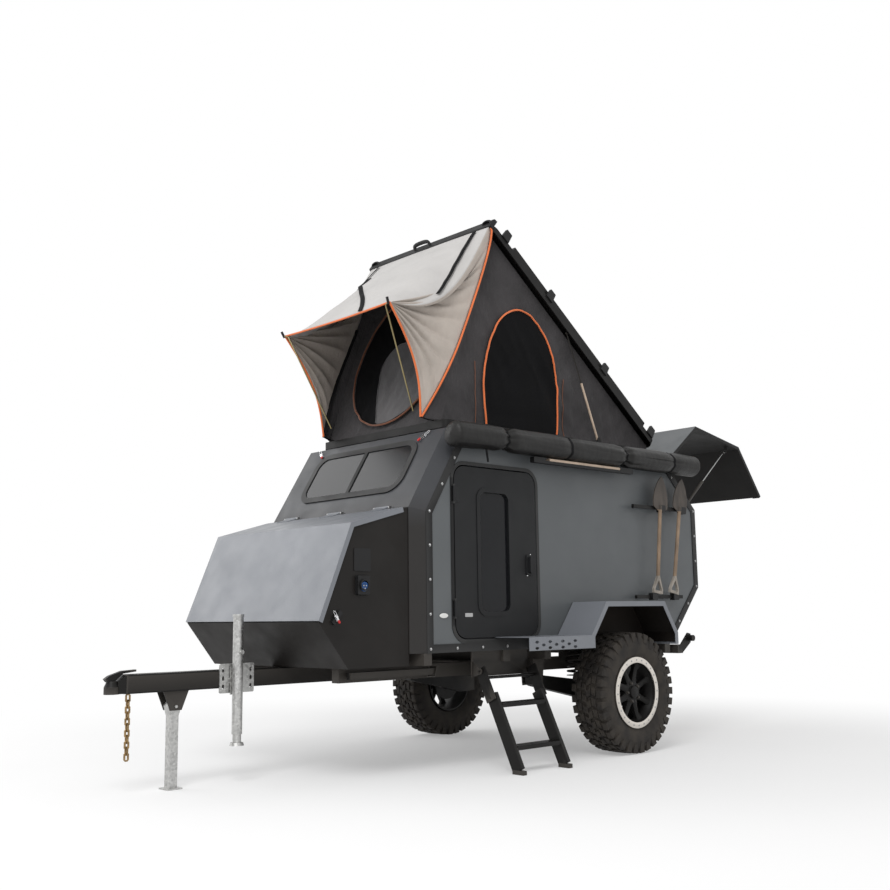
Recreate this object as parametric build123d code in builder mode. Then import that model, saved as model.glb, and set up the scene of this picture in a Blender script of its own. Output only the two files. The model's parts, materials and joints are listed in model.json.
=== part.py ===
from build123d import *
from math import asin, atan2, cos, degrees, hypot, radians, sin
import os

os.makedirs("parts", exist_ok=True)

# Off-road camper trailer, in millimetres.
# The origin is the centre of the coupling's ball socket. +Y runs rearwards, +X to the left, +Z up.

# Driving dimensions: running gear
ball_height = 530.0          # ball socket centre above the ground
axle_y = 3100.0              # wheel centres behind the ball socket
ground = -ball_height
tyre_radius = 380.0
tyre_width = 240.0
wheel_x = 863.0              # middle plane of each wheel
rim_radius = 204.0           # bead seat
ring_radius = 222.0          # outside of the bead ring
hub_radius = 62.0

# Driving dimensions: body shell, distances from the axle and heights above the ground
wall_x = 722.0               # outer face of the side walls
wall_thickness = 35.0
trim_thickness = 5.0
trim_width = 48.0
front_half_width = 668.0     # front panel and nose
front_wall_ahead = 1659.0    # front panel ahead of the axle
corner_set_back = 82.0       # side walls start this far behind the front panel
corner_return = 12.0
floor_height = 672.0
floor_thickness = 40.0
bend_height = 1497.0         # where the front panel starts to lean back
roof_height = 1986.0
roof_front_ahead = 1360.0
roof_rear_behind = 718.0
rear_behind = 1105.0
rear_top_height = 1623.0
rear_low_height = 1057.0
floor_rear_behind = 753.0
panel_thickness = 30.0

# Driving dimensions: nose box
nose_wall = 5.0
nose_bottom_height = 605.0
nose_toe_ahead = 2089.0
nose_lip_ahead = 2292.0
nose_lip_height = 863.0
nose_brow_ahead = 2076.0
nose_brow_height = 1387.0
nose_top_ahead = 1704.0
nose_top_height = 1491.0
lid_skin = 4.0
lid_lip = 28.0

# Driving dimensions: doors and windows
door_front_ahead = 1351.0
door_width = 700.0
door_sill = 78.0             # door's lower edge above the floor's underside
door_head = 231.0            # door's upper edge below the roof
door_bottom_height = floor_height + door_sill
door_tall = roof_height - door_head - door_bottom_height
door_corner = 80.0
door_gap = 8.0
door_thickness = 38.0
door_proud = 4.0
door_window_width = 245.0
door_window_low = 150.0      # window's lower edge above the door's lower edge
door_window_high = 145.0     # window's upper edge below the door's upper edge
door_window_tall = door_tall - door_window_low - door_window_high
door_window_ahead = 210.0    # window's front edge behind the door's front edge
door_handle_ahead = 68.0     # handle's middle ahead of the door's rear edge
door_handle_up = 432.0       # handle's middle above the door's lower edge
glass_thickness = 5.0
slope_window_width = 950.0
slope_window_foot = 150.0    # window's lower edge up the slope from the bend
slope_window_head = 83.2     # window's upper edge down the slope from the roof
slope_window_round = 90.0
slope_length = hypot(front_wall_ahead - roof_front_ahead, roof_height - bend_height)
slope_window_tall = slope_length - slope_window_foot - slope_window_head
slope_window_up = slope_window_foot + slope_window_tall / 2
slope_window_corner = min(slope_window_round, 0.4 * slope_window_tall)

# Driving dimensions: rear hatch, drawn closed and turned open
hatch_stand_off = 30.0       # outer face of the shut hatch beyond the side walls' edge
hatch_thickness = 24.0
hatch_skin_thickness = 3.0
hatch_open = 80.0
hatch_low_height = 700.0
hatch_hinge_set = 46.6       # hinge line down the rear slope from the roof's edge
hatch_pin_above = 91.0       # strut's pin above the rear face's foot, hatch shut
hatch_pin_depth = 60.0       # strut's pin inside the hatch's outer face
strut_pin_ahead = 105.0      # strut's fixed pin ahead of the body's rear face
strut_pin_below = 32.0       # strut's fixed pin below the rear slope's foot

# Driving dimensions: roof tent
tent_half_width = 612.0
tent_front_ahead = 1300.0
tent_hinge_behind = 800.0
tent_base_lift = 20.0        # base tray above the roof, on its bars
tent_base_height = roof_height + tent_base_lift
tent_base_thickness = 48.0
tent_lid_gap = 17.0
tent_lid_length = 2120.0
tent_lid_thickness = 55.0
tent_open = 37.5
tent_fabric_half = 562.0
fabric_thickness = 6.0

# Driving dimensions: chassis
rail_x = 500.0
rail_width = 60.0
rail_tall = 80.0
drawbar_width = 100.0
drawbar_tall = 98.0
tube_wall = 6.0
cross_tall = floor_height - nose_bottom_height


def fore(distance):
    """Y of a point this far ahead of the axle."""
    return axle_y - distance


def aft(distance):
    """Y of a point this far behind the axle."""
    return axle_y + distance


def up(height):
    """Z of a point this high above the ground."""
    return ground + height


def save(piece, name):
    """Labels a finished piece and writes its file."""
    piece.label = name
    export_step(piece, "parts/" + name + ".step")


def turned(point, pivot, angle):
    """A (y, z) point turned about a pivot, by degrees from +Y towards +Z."""
    dy, dz = point[0] - pivot[0], point[1] - pivot[1]
    c, s = cos(radians(angle)), sin(radians(angle))
    return (pivot[0] + dy * c - dz * s, pivot[1] + dy * s + dz * c)


def moved(point, direction, distance):
    """A (y, z) point moved along a direction in degrees."""
    return (point[0] + distance * cos(radians(direction)), point[1] + distance * sin(radians(direction)))


def heading(start, end):
    """Direction in degrees from one (y, z) point to another."""
    return degrees(atan2(end[1] - start[1], end[0] - start[0]))


def distance(start, end):
    return hypot(end[0] - start[0], end[1] - start[1])


def crossing(p, a, q, b):
    """Where the line through p at angle a meets the line through q at angle b."""
    ca, sa, cb, sb = cos(radians(a)), sin(radians(a)), cos(radians(b)), sin(radians(b))
    t = ((q[0] - p[0]) * sb - (q[1] - p[1]) * cb) / (ca * sb - sa * cb)
    return (p[0] + t * ca, p[1] + t * sa)


# Body outlines, as (y, z) points

slope_angle = heading((fore(front_wall_ahead), up(bend_height)), (fore(roof_front_ahead), up(roof_height)))
slope_shift = corner_set_back / sin(radians(slope_angle))
side_front_y = fore(front_wall_ahead - corner_set_back)
side_bend = crossing((side_front_y, 0), 90, (fore(roof_front_ahead) + slope_shift, up(roof_height)), slope_angle)
side_top_front = (fore(roof_front_ahead) + slope_shift, up(roof_height))
side_top_rear = (aft(roof_rear_behind), up(roof_height))
side_rear_top = (aft(rear_behind), up(rear_top_height))
side_rear_low = (aft(rear_behind), up(rear_low_height))
side_floor_rear = (aft(floor_rear_behind), up(floor_height))
side_floor_front = (side_front_y, up(floor_height))
side_outline = [
    side_floor_front, side_bend, side_top_front, side_top_rear,
    side_rear_top, side_rear_low, side_floor_rear,
]
slope_line = [
    (fore(front_wall_ahead), up(floor_height)),
    (fore(front_wall_ahead), up(bend_height)),
    (fore(roof_front_ahead), up(roof_height)),
]
slope_bend = slope_line[1]
inner_x = wall_x - wall_thickness


def inset_line(line, set_in):
    """The front panel's bent line moved inwards by a wall thickness."""
    low, bend, top = line
    y = low[0] + set_in
    shift = set_in / sin(radians(slope_angle))
    bend_in = crossing((y, 0), 90, (top[0] + shift, top[1]), slope_angle)
    return [(y, low[1]), bend_in, (top[0] + shift, top[1])]


# Side walls, each with its door opening

door_y = fore(door_front_ahead) + door_width / 2
door_z = up(door_bottom_height) + door_tall / 2
wall_front_line = inset_line(slope_line, corner_set_back + corner_return)
wall_outline = wall_front_line + side_outline[3:]
strut_pin_radius = 5.0
hatch_strut_x = 660.0
hatch_body_pin = (aft(rear_behind - strut_pin_ahead), up(rear_top_height - strut_pin_below))

for side, name in ((1, "side_wall_left"), (-1, "side_wall_right")):
    with BuildPart() as side_wall:
        with BuildSketch(Plane.YZ.offset(inner_x)):
            Polygon(*wall_outline, align=None)
            with Locations((door_y, door_z)):
                RectangleRounded(
                    door_width + 2 * door_gap, door_tall + 2 * door_gap,
                    door_corner + door_gap, mode=Mode.SUBTRACT,
                )
        extrude(amount=wall_thickness)
        # Stud that carries the hatch strut's lower eye
        with BuildSketch(Plane.YZ.offset(inner_x)):
            with Locations(hatch_body_pin):
                Circle(strut_pin_radius)
        extrude(amount=-(inner_x - hatch_strut_x + 12))
        if side < 0:
            mirror(about=Plane.YZ, mode=Mode.REPLACE)
    save(side_wall.part, name)

# Bolted trim round each side, and the door frames

door_frame_width = 22.0
hinge_pin = 3.2
hinge_bore = 3.5
hinge_ear = 12.0
door_hinge_x = wall_x + trim_thickness + 8
door_hinge_y = fore(door_front_ahead) - door_gap - 4
door_hinge_radius = 7.0
door_hinge_half = 45.0
door_hinge_set = 170.0       # hinge's middle from the door's upper or lower edge
door_hinge_places = (
    up(door_bottom_height) + door_hinge_set, up(door_bottom_height) + door_tall - door_hinge_set,
)
with BuildPart() as side_trim:
    with BuildSketch(Plane.YZ.offset(wall_x)):
        Polygon(*side_outline, align=None)
        offset(amount=-trim_width, kind=Kind.INTERSECTION, mode=Mode.SUBTRACT)
    extrude(amount=trim_thickness)
    with BuildSketch(Plane.YZ.offset(wall_x)):
        with Locations((door_y, door_z)):
            RectangleRounded(
                door_width + 2 * door_gap + 2 * door_frame_width,
                door_tall + 2 * door_gap + 2 * door_frame_width,
                door_corner + door_gap + door_frame_width,
            )
            RectangleRounded(
                door_width + 2 * door_gap, door_tall + 2 * door_gap,
                door_corner + door_gap, mode=Mode.SUBTRACT,
            )
    extrude(amount=trim_thickness)
    for z in door_hinge_places:
        with BuildSketch(Plane.XY.offset(z - door_hinge_half - hinge_ear)):
            with Locations((door_hinge_x, door_hinge_y)):
                Circle(hinge_pin)
        extrude(amount=2 * (door_hinge_half + hinge_ear))
        for end in (z - door_hinge_half - hinge_ear - 0.3, z + door_hinge_half + 0.3):
            with BuildSketch(Plane.XY.offset(end)):
                with Locations((door_hinge_x, door_hinge_y)):
                    Circle(door_hinge_radius)
                Polygon(
                    (door_hinge_x, door_hinge_y - 7), (wall_x + 2, door_hinge_y - 16),
                    (wall_x + 2, door_hinge_y + 2), (door_hinge_x, door_hinge_y + 7), align=None,
                )
            extrude(amount=hinge_ear)
    mirror(about=Plane.YZ)
save(side_trim.part, "side_trim")

# Front panel with its lean-back slope and the two bevelled corner posts

slope_plane = Plane(
    origin=(0, slope_bend[0], slope_bend[1]), x_dir=(1, 0, 0),
    z_dir=(0, -sin(radians(slope_angle)), cos(radians(slope_angle))),
)
post_root = inset_line(slope_line, corner_set_back + corner_return)
post_edge = inset_line(slope_line, corner_set_back)
with BuildPart() as front_panel:
    with BuildSketch(Plane.YZ.offset(-front_half_width)):
        Polygon(*slope_line, *reversed(inset_line(slope_line, panel_thickness)), align=None)
    extrude(amount=2 * front_half_width)
    with BuildSketch(Plane.YZ.offset(front_half_width)):
        Polygon(*slope_line, *reversed(post_root), align=None)
    with BuildSketch(Plane.YZ.offset(wall_x)):
        Polygon(*post_edge, *reversed(post_root), align=None)
    loft(ruled=True)
    mirror(about=Plane.YZ)
    with BuildSketch(slope_plane):
        with Locations((0, slope_window_up)):
            RectangleRounded(slope_window_width, slope_window_tall, slope_window_corner)
    extrude(amount=3 * panel_thickness, both=True, mode=Mode.SUBTRACT)
save(front_panel.part, "front_panel")

window_frame_width = 26.0
window_clear = 0.3
window_frame_proud = 8.0
window_frame_deep = 34.0
window_bar = 30.0
window_seal = 14.0
with BuildPart() as front_window_frame:
    with BuildSketch(slope_plane):
        with Locations((0, slope_window_up)):
            RectangleRounded(
                slope_window_width + 2 * window_frame_width,
                slope_window_tall + 2 * window_frame_width,
                slope_window_corner + window_frame_width,
            )
    extrude(amount=window_frame_proud)
    with BuildSketch(slope_plane):
        with Locations((0, slope_window_up)):
            RectangleRounded(
                slope_window_width - 2 * window_clear, slope_window_tall - 2 * window_clear,
                slope_window_corner - window_clear,
            )
    extrude(amount=-window_frame_deep)
    with BuildSketch(slope_plane.offset(window_frame_proud)):
        with Locations((0, slope_window_up)):
            RectangleRounded(
                slope_window_width - 2 * window_seal, slope_window_tall - 2 * window_seal,
                slope_window_corner - window_seal,
            )
            Rectangle(window_bar, slope_window_tall, mode=Mode.SUBTRACT)
    extrude(amount=-(window_frame_proud + window_frame_deep), mode=Mode.SUBTRACT)
save(front_window_frame.part, "front_window_frame")

with BuildPart() as front_window_glass:
    with BuildSketch(slope_plane.offset(-glass_thickness / 2)):
        with Locations((0, slope_window_up)):
            RectangleRounded(
                slope_window_width - 2 * window_seal - 2 * window_clear,
                slope_window_tall - 2 * window_seal - 2 * window_clear,
                slope_window_corner - window_seal - window_clear,
            )
            Rectangle(window_bar + 2 * window_clear, slope_window_tall, mode=Mode.SUBTRACT)
    extrude(amount=glass_thickness)
save(front_window_glass.part, "front_window_glass")

# Rear hatch's fields and hinge line, shut

upper_angle = heading(side_rear_top, side_top_rear)
lower_angle = heading(side_rear_low, side_floor_rear)


def hatch_line(out):
    """The shut hatch's three fields, this far outside the side walls' rear edge."""
    on_upper = moved(side_rear_top, upper_angle - 90, out)
    on_rear = (side_rear_low[0] + out, 0)
    on_lower = moved(side_rear_low, lower_angle + 90, out)
    bend_top = crossing(on_upper, upper_angle, on_rear, 90)
    bend_low = crossing(on_rear, 90, on_lower, lower_angle)
    return bend_top, bend_low


outer_top, outer_low = hatch_line(hatch_stand_off)
hatch_arm = distance(side_rear_top, side_top_rear) - hatch_hinge_set
hatch_hinge = moved(outer_top, upper_angle, hatch_arm)
outer_end = crossing(outer_low, lower_angle, (0, up(hatch_low_height)), 0)

# Roof, with the fixed ears and pins of the hatch's hinge, and floor

hatch_hinge_places = (-450.0, 0.0, 450.0)
hatch_hinge_half = 60.0
hatch_knuckle = 7.5
hatch_knuckle_clear = 3.0
roof_front_line = inset_line(slope_line, panel_thickness)
roof_low = up(roof_height) - wall_thickness
with BuildPart() as roof_panel:
    with BuildSketch(Plane.YZ.offset(-inner_x)):
        roof_front_low = crossing(roof_front_line[2], slope_angle, (0, roof_low), 0)
        rear_angle = heading(side_top_rear, side_rear_top)
        roof_rear_low = crossing(side_top_rear, rear_angle, (0, roof_low), 0)
        Polygon(roof_front_line[2], side_top_rear, roof_rear_low, roof_front_low, align=None)
    extrude(amount=2 * inner_x)
    # Clears the corner posts
    for side in (1, -1):
        with BuildSketch(Plane.YZ.offset(side * front_half_width)):
            Polygon(
                roof_front_line[2], post_root[2],
                crossing(post_root[2], slope_angle, (0, roof_low - 1), 0),
                (roof_front_line[2][0] - wall_thickness, roof_low - 1),
                (roof_front_line[2][0] - wall_thickness, up(roof_height)), align=None,
            )
        extrude(amount=side * (wall_x - front_half_width), mode=Mode.SUBTRACT)
    roof_foot = moved(hatch_hinge, upper_angle - 90, -(hatch_stand_off + 1))
    for x in hatch_hinge_places:
        with BuildSketch(Plane.YZ.offset(x - hatch_hinge_half - hinge_ear)):
            with Locations(hatch_hinge):
                Circle(hinge_pin)
        extrude(amount=2 * (hatch_hinge_half + hinge_ear))
        for end in (x - hatch_hinge_half - hinge_ear - 0.3, x + hatch_hinge_half + 0.3):
            with BuildSketch(Plane.YZ.offset(end)):
                with Locations(hatch_hinge):
                    Circle(hatch_knuckle)
                Polygon(
                    moved(hatch_hinge, 112, hatch_knuckle), moved(roof_foot, upper_angle, 36),
                    moved(roof_foot, upper_angle, 14), moved(hatch_hinge, 248, hatch_knuckle), align=None,
                )
            extrude(amount=hinge_ear)
save(roof_panel.part, "roof_panel")

with BuildPart() as floor_panel:
    floor_top = up(floor_height) + floor_thickness
    low_angle = heading(side_floor_rear, side_rear_low)
    front_y = fore(front_wall_ahead) + corner_set_back + corner_return
    with BuildSketch(Plane.YZ.offset(-inner_x)):
        Polygon(
            (front_y, up(floor_height)), side_floor_rear,
            crossing(side_floor_rear, low_angle, (0, floor_top), 0), (front_y, floor_top), align=None,
        )
    extrude(amount=2 * inner_x)
    with BuildSketch(Plane.XY.offset(up(floor_height))):
        with Locations((0, fore(front_wall_ahead) + panel_thickness)):
            Rectangle(
                2 * front_half_width, corner_set_back + corner_return - panel_thickness,
                align=(Align.CENTER, Align.MIN),
            )
    extrude(amount=floor_thickness)
save(floor_panel.part, "floor_panel")

# Galley behind the cabin bulkhead: worktop, shelf, uprights and toe board

bulkhead_behind = 560.0
board = 18.0
worktop_lift = 23.0          # above the rear face's foot
worktop_height = rear_low_height + worktop_lift
worktop_rear = rear_behind - 20
shelf_lift = 340.0           # above the worktop
shelf_height = worktop_height + shelf_lift
shelf_rear = rear_behind - 205
galley_half = 640.0
with BuildPart() as galley_cabinet:
    with BuildSketch(Plane.XZ.offset(-aft(bulkhead_behind))):
        with Locations((0, floor_top)):
            Rectangle(2 * inner_x, roof_low - floor_top, align=(Align.CENTER, Align.MIN))
    extrude(amount=board)
    for height, rear in ((worktop_height, worktop_rear), (shelf_height, shelf_rear)):
        with BuildSketch(Plane.XY.offset(up(height))):
            with Locations((0, aft(bulkhead_behind))):
                Rectangle(2 * galley_half, rear - bulkhead_behind, align=(Align.CENTER, Align.MIN))
        extrude(amount=-board)
    for x in (-galley_half, -galley_half / 3, galley_half / 3, galley_half - board):
        with BuildSketch(Plane.YZ.offset(x)):
            Polygon(
                (aft(bulkhead_behind), floor_top), (side_floor_rear[0] + 10, floor_top),
                (aft(worktop_rear - 40), up(rear_low_height)), (aft(worktop_rear - 40), up(worktop_height) - board),
                (aft(bulkhead_behind), up(worktop_height) - board), align=None,
            )
        extrude(amount=board)
    for x in (-galley_half, galley_half - board):
        with BuildSketch(Plane.YZ.offset(x)):
            Polygon(
                (aft(bulkhead_behind), up(worktop_height)), (aft(shelf_rear + 80), up(worktop_height)),
                (aft(shelf_rear), up(shelf_height) - board), (aft(bulkhead_behind), up(shelf_height) - board),
                align=None,
            )
        extrude(amount=board)
save(galley_cabinet.part, "galley_cabinet")

mattress_gap = 12.0
mattress_tall = 110.0
with BuildPart() as mattress:
    mattress_front = front_y + mattress_gap
    mattress_rear = aft(bulkhead_behind) - board - mattress_gap
    with BuildSketch(Plane.XY.offset(floor_top + 0.3)):
        with Locations((0, (mattress_front + mattress_rear) / 2)):
            RectangleRounded(2 * (inner_x - mattress_gap), mattress_rear - mattress_front, 60)
    extrude(amount=mattress_tall)
save(mattress.part, "mattress")

# Nose box: sides, bottom and lower front under a wrap-over lid

nose_back = fore(front_wall_ahead)
nose_points = {
    "back_low": (nose_back, up(nose_bottom_height)),
    "toe": (fore(nose_toe_ahead), up(nose_bottom_height)),
    "lip": (fore(nose_lip_ahead), up(nose_lip_height)),
    "brow": (fore(nose_brow_ahead), up(nose_brow_height)),
    "top": (fore(nose_top_ahead), up(nose_top_height)),
}
lip_angle = heading(nose_points["toe"], nose_points["lip"])
front_angle = heading(nose_points["lip"], nose_points["brow"])
top_angle = heading(nose_points["brow"], nose_points["top"])
lid_clear = 6.0
nose_half = front_half_width - nose_wall
rim_set = lid_skin + lid_clear


def inward(point, angle, set_in):
    """A point moved square to a line, into the nose."""
    return moved(point, angle - 90, set_in)


def nose_band(outer, inner):
    """The lid's wrap-over strip between two depths below its outer face."""
    points = []
    for depth in (outer, inner):
        low = inward(nose_points["lip"], front_angle, depth)
        high = inward(nose_points["top"], top_angle, depth)
        bend = crossing(low, front_angle, high, top_angle)
        points.append((low, bend, high))
    return [*points[0], *reversed(points[1])]


with BuildPart() as nose_box:
    rim_low = inward(nose_points["lip"], front_angle, rim_set)
    rim_high = inward(nose_points["top"], top_angle, rim_set)
    rim_bend = crossing(rim_low, front_angle, rim_high, top_angle)
    rim_foot = crossing(rim_low, front_angle, nose_points["toe"], lip_angle)
    rim_back = crossing(rim_high, top_angle, (nose_back, 0), 90)
    shell_points = [nose_points["back_low"], nose_points["toe"], rim_foot, rim_bend, rim_back]
    with BuildSketch(Plane.YZ.offset(-nose_half)):
        Polygon(*shell_points, align=None)
    extrude(amount=2 * nose_half)
    toe_in = crossing(
        (0, up(nose_bottom_height) + nose_wall), 0,
        moved(nose_points["toe"], lip_angle - 90, nose_wall), lip_angle,
    )
    foot_in = crossing(rim_low, front_angle, toe_in, lip_angle)
    reach = moved(foot_in, lip_angle, 60)
    with BuildSketch(Plane.YZ.offset(-(nose_half - nose_wall))):
        Polygon(
            (nose_back + 1, up(nose_bottom_height) + nose_wall), toe_in, reach,
            moved(rim_bend, 110, 80), (nose_back + 1, rim_back[1] + 80), align=None,
        )
    extrude(amount=2 * (nose_half - nose_wall), mode=Mode.SUBTRACT)
    # Gutter strip that the lid's hinge is screwed to
    with BuildSketch(Plane.YZ.offset(-(nose_half - nose_wall))):
        Polygon(
            (nose_back, rim_back[1]), (nose_back, rim_back[1] - 30),
            (nose_back - nose_wall, rim_back[1] - 30), (nose_back - nose_wall, rim_back[1]), align=None,
        )
    extrude(amount=2 * (nose_half - nose_wall))
save(nose_box.part, "nose_box")

lid_half = front_half_width + lid_skin
nose_hinge_radius = 7.0
nose_hinge = (nose_back - nose_hinge_radius - 6, nose_points["top"][1] + 14)
with BuildPart() as nose_hinge_pins:
    for x in (-450, 0, 450):
        with BuildSketch(Plane.YZ.offset(x - 60 - hinge_ear)):
            with Locations(nose_hinge):
                Circle(hinge_pin)
        extrude(amount=120 + 2 * hinge_ear)
        for end in (x - 60.3 - hinge_ear, x + 60.3):
            with BuildSketch(Plane.YZ.offset(end)):
                Polygon(
                    (nose_hinge[0] - 7, nose_hinge[1] + 5), (nose_back - 0.3, nose_hinge[1] + 9),
                    (nose_back - 0.3, nose_hinge[1] - 9), (nose_hinge[0] - 7, nose_hinge[1] - 7), align=None,
                )
            extrude(amount=hinge_ear)
save(nose_hinge_pins.part, "nose_hinge_pins")

with BuildPart() as nose_lid:
    with BuildSketch(Plane.YZ.offset(-lid_half)):
        Polygon(*nose_band(0, lid_lip), align=None)
    extrude(amount=2 * lid_half)
    with BuildSketch(Plane.YZ.offset(-front_half_width)):
        Polygon(*nose_band(lid_skin, lid_lip + 5), align=None)
    extrude(amount=2 * front_half_width, mode=Mode.SUBTRACT)
    # Hinge leaf and knuckles along the top edge
    for x in (-450, 0, 450):
        with BuildSketch(Plane.YZ.offset(x - 60)):
            with Locations(nose_hinge):
                Circle(nose_hinge_radius)
        extrude(amount=120)
        with BuildSketch(Plane.YZ.offset(x - 60)):
            leaf_end = inward(nose_points["top"], top_angle, -3)
            Polygon(
                (nose_hinge[0], nose_hinge[1] + 3), (nose_hinge[0], nose_hinge[1] - 4),
                inward(nose_points["top"], top_angle, lid_skin), moved(nose_points["top"], top_angle, -40),
                moved(leaf_end, top_angle, -40), leaf_end, align=None,
            )
        extrude(amount=120)
    for x in (-450, 0, 450):
        with BuildSketch(Plane.YZ.offset(x - 60)):
            with Locations(nose_hinge):
                Circle(hinge_bore)
        extrude(amount=120, mode=Mode.SUBTRACT)
save(nose_lid.part, "nose_lid")

# Latches, power inlet and vent flap on the nose's sides

with BuildPart() as nose_fittings:
    inlet_size, inlet_deep = (88, 108), 22.0
    with BuildSketch(Plane.YZ.offset(nose_half)):
        with Locations((fore(1998), up(1050))):
            RectangleRounded(*inlet_size, 10)
    extrude(amount=inlet_deep, taper=8)
    with BuildSketch(Plane.YZ.offset(nose_half + inlet_deep)):
        with Locations((fore(1998), up(1050))):
            Circle(31)
    extrude(amount=10)
    with BuildSketch(Plane.YZ.offset(nose_half + inlet_deep + 10)):
        with Locations((fore(1998), up(1050))):
            Circle(24)
    extrude(amount=-24, mode=Mode.SUBTRACT)
    with BuildSketch(Plane.YZ.offset(nose_half)):
        with Locations((fore(1994), up(1188))):
            RectangleRounded(116, 124, 8)
    extrude(amount=4)
    for side in (1, -1):
        with BuildSketch(Plane.YZ.offset(side * nose_half)):
            with Locations(Location((fore(2172), up(878), 0), (0, 0, 50))):
                RectangleRounded(84, 26, 6)
        extrude(amount=side * 14)
save(nose_fittings.part, "nose_fittings")

# Doors, hinged at their front edges

window_y = fore(door_front_ahead) + door_window_ahead + door_window_width / 2
window_z = up(door_bottom_height) + door_window_low + door_window_tall / 2
window_corner = 45.0
handle_y = fore(door_front_ahead - door_width + door_handle_ahead)
handle_z = up(door_bottom_height) + door_handle_up
for side, word in ((1, "left"), (-1, "right")):
    with BuildPart() as door:
        with BuildSketch(Plane.YZ.offset(wall_x + door_proud - door_thickness)):
            with Locations((door_y, door_z)):
                RectangleRounded(door_width, door_tall, door_corner)
            with Locations((window_y, window_z)):
                RectangleRounded(door_window_width, door_window_tall, window_corner, mode=Mode.SUBTRACT)
        extrude(amount=door_thickness)
        # Raised ring that clamps the pane
        with BuildSketch(Plane.YZ.offset(wall_x + door_proud)):
            with Locations((window_y, window_z)):
                RectangleRounded(door_window_width + 56, door_window_tall + 56, window_corner + 28)
                RectangleRounded(door_window_width, door_window_tall, window_corner, mode=Mode.SUBTRACT)
        extrude(amount=4)
        # Hinge knuckles and their leaves
        for z in door_hinge_places:
            with BuildSketch(Plane.XY.offset(z - door_hinge_half)):
                with Locations((door_hinge_x, door_hinge_y)):
                    Circle(door_hinge_radius)
                Polygon(
                    (door_hinge_x - 6.5, door_hinge_y), (door_hinge_x - 6.5, door_hinge_y + 6),
                    (wall_x + door_proud, door_hinge_y + 13), (wall_x + door_proud, door_hinge_y + 50),
                    (wall_x + door_proud + 4, door_hinge_y + 50), (wall_x + door_proud + 5, door_hinge_y + 14),
                    (door_hinge_x + 3, door_hinge_y + 5), align=None,
                )
            extrude(amount=2 * door_hinge_half)
            with BuildSketch(Plane.XY.offset(z - door_hinge_half)):
                with Locations((door_hinge_x, door_hinge_y)):
                    Circle(hinge_bore)
            extrude(amount=2 * door_hinge_half, mode=Mode.SUBTRACT)
        # Paddle handle on its pan
        with BuildSketch(Plane.YZ.offset(wall_x + door_proud)):
            with Locations((handle_y, handle_z)):
                RectangleRounded(58, 128, 12)
        extrude(amount=9, taper=15)
        with BuildSketch(Plane.YZ.offset(wall_x + door_proud + 9)):
            with Locations((handle_y, handle_z)):
                RectangleRounded(28, 104, 10)
        extrude(amount=16, taper=10)
        if side < 0:
            mirror(about=Plane.YZ, mode=Mode.REPLACE)
    save(door.part, "door_" + word)
    with BuildPart() as door_glass:
        with BuildSketch(Plane.YZ.offset(wall_x + door_proud - 18)):
            with Locations((window_y, window_z)):
                RectangleRounded(door_window_width, door_window_tall, window_corner)
        extrude(amount=glass_thickness)
        if side < 0:
            mirror(about=Plane.YZ, mode=Mode.REPLACE)
    save(door_glass.part, "door_glass_" + word)

# Rear hatch: three flat fields, drawn shut and turned open about its hinge

def hatch_band(outside, inside):
    """The hatch's open section between two depths below its outer face."""
    lines = []
    for depth in (outside, inside):
        bend_top, bend_low = hatch_line(hatch_stand_off - depth)
        start = moved(
            moved(hatch_hinge, upper_angle + 180, hatch_knuckle + hatch_knuckle_clear), upper_angle + 90, depth,
        )
        end = moved(outer_end, lower_angle - 90, depth)
        lines.append([start, bend_top, bend_low, end])
    return [turned(p, hatch_hinge, hatch_open) for p in (*lines[0], *reversed(lines[1]))]


hatch_half = wall_x + trim_thickness
with BuildPart() as hatch_skin:
    with BuildSketch(Plane.YZ.offset(-hatch_half)):
        Polygon(*hatch_band(0, hatch_skin_thickness), align=None)
    extrude(amount=2 * hatch_half)
save(hatch_skin.part, "hatch_skin")

hatch_lip = 4.0
hatch_field = 10.0
shut_pin = (outer_top[0] - hatch_pin_depth, side_rear_low[1] + hatch_pin_above)
hatch_pin = turned(shut_pin, hatch_hinge, hatch_open)
strut_eye_x = 16.0
with BuildPart() as hatch_frame:
    with BuildSketch(Plane.YZ.offset(-hatch_half)):
        Polygon(*hatch_band(hatch_skin_thickness, hatch_thickness), align=None)
    extrude(amount=2 * hatch_half)
    with BuildSketch(Plane.YZ.offset(-(hatch_half - 60))):
        Polygon(*hatch_band(hatch_thickness - hatch_field, hatch_thickness), align=None)
    extrude(amount=2 * (hatch_half - 60), mode=Mode.SUBTRACT)
    # Hinge knuckles and their leaves
    for x in hatch_hinge_places:
        reach = hatch_knuckle + hatch_knuckle_clear + 1
        # Leaf corners: distance from the hinge line, depth below the outer face
        leaf = [(2, 3.2), (reach, 3.2), (reach, 12), (2, 7)]
        leaf_points = [moved(moved(hatch_hinge, upper_angle + 180, a), upper_angle + 90, d) for a, d in leaf]
        with BuildSketch(Plane.YZ.offset(x - hatch_hinge_half)):
            Polygon(*[turned(p, hatch_hinge, hatch_open) for p in leaf_points], align=None)
            with Locations(hatch_hinge):
                Circle(hatch_knuckle)
                Circle(hinge_bore, mode=Mode.SUBTRACT)
        extrude(amount=2 * hatch_hinge_half)
    # Studs that carry the struts' upper eyes
    for side in (1, -1):
        ear = [(-14, hatch_thickness - 1), (14, hatch_thickness - 1), (9, hatch_pin_depth + 8), (-9, hatch_pin_depth + 8)]
        ear_points = [(outer_top[0] - depth, shut_pin[1] + along) for along, depth in ear]
        ear_open = [turned(p, hatch_hinge, hatch_open) for p in ear_points]
        with BuildSketch(Plane.YZ.offset(side * (hatch_strut_x + strut_eye_x))):
            Polygon(*ear_open, align=None)
        extrude(amount=side * 5)
        with BuildSketch(Plane.YZ.offset(side * (hatch_strut_x + strut_eye_x))):
            with Locations(hatch_pin):
                Circle(strut_pin_radius)
        extrude(amount=-side * (strut_eye_x - 8))
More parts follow.
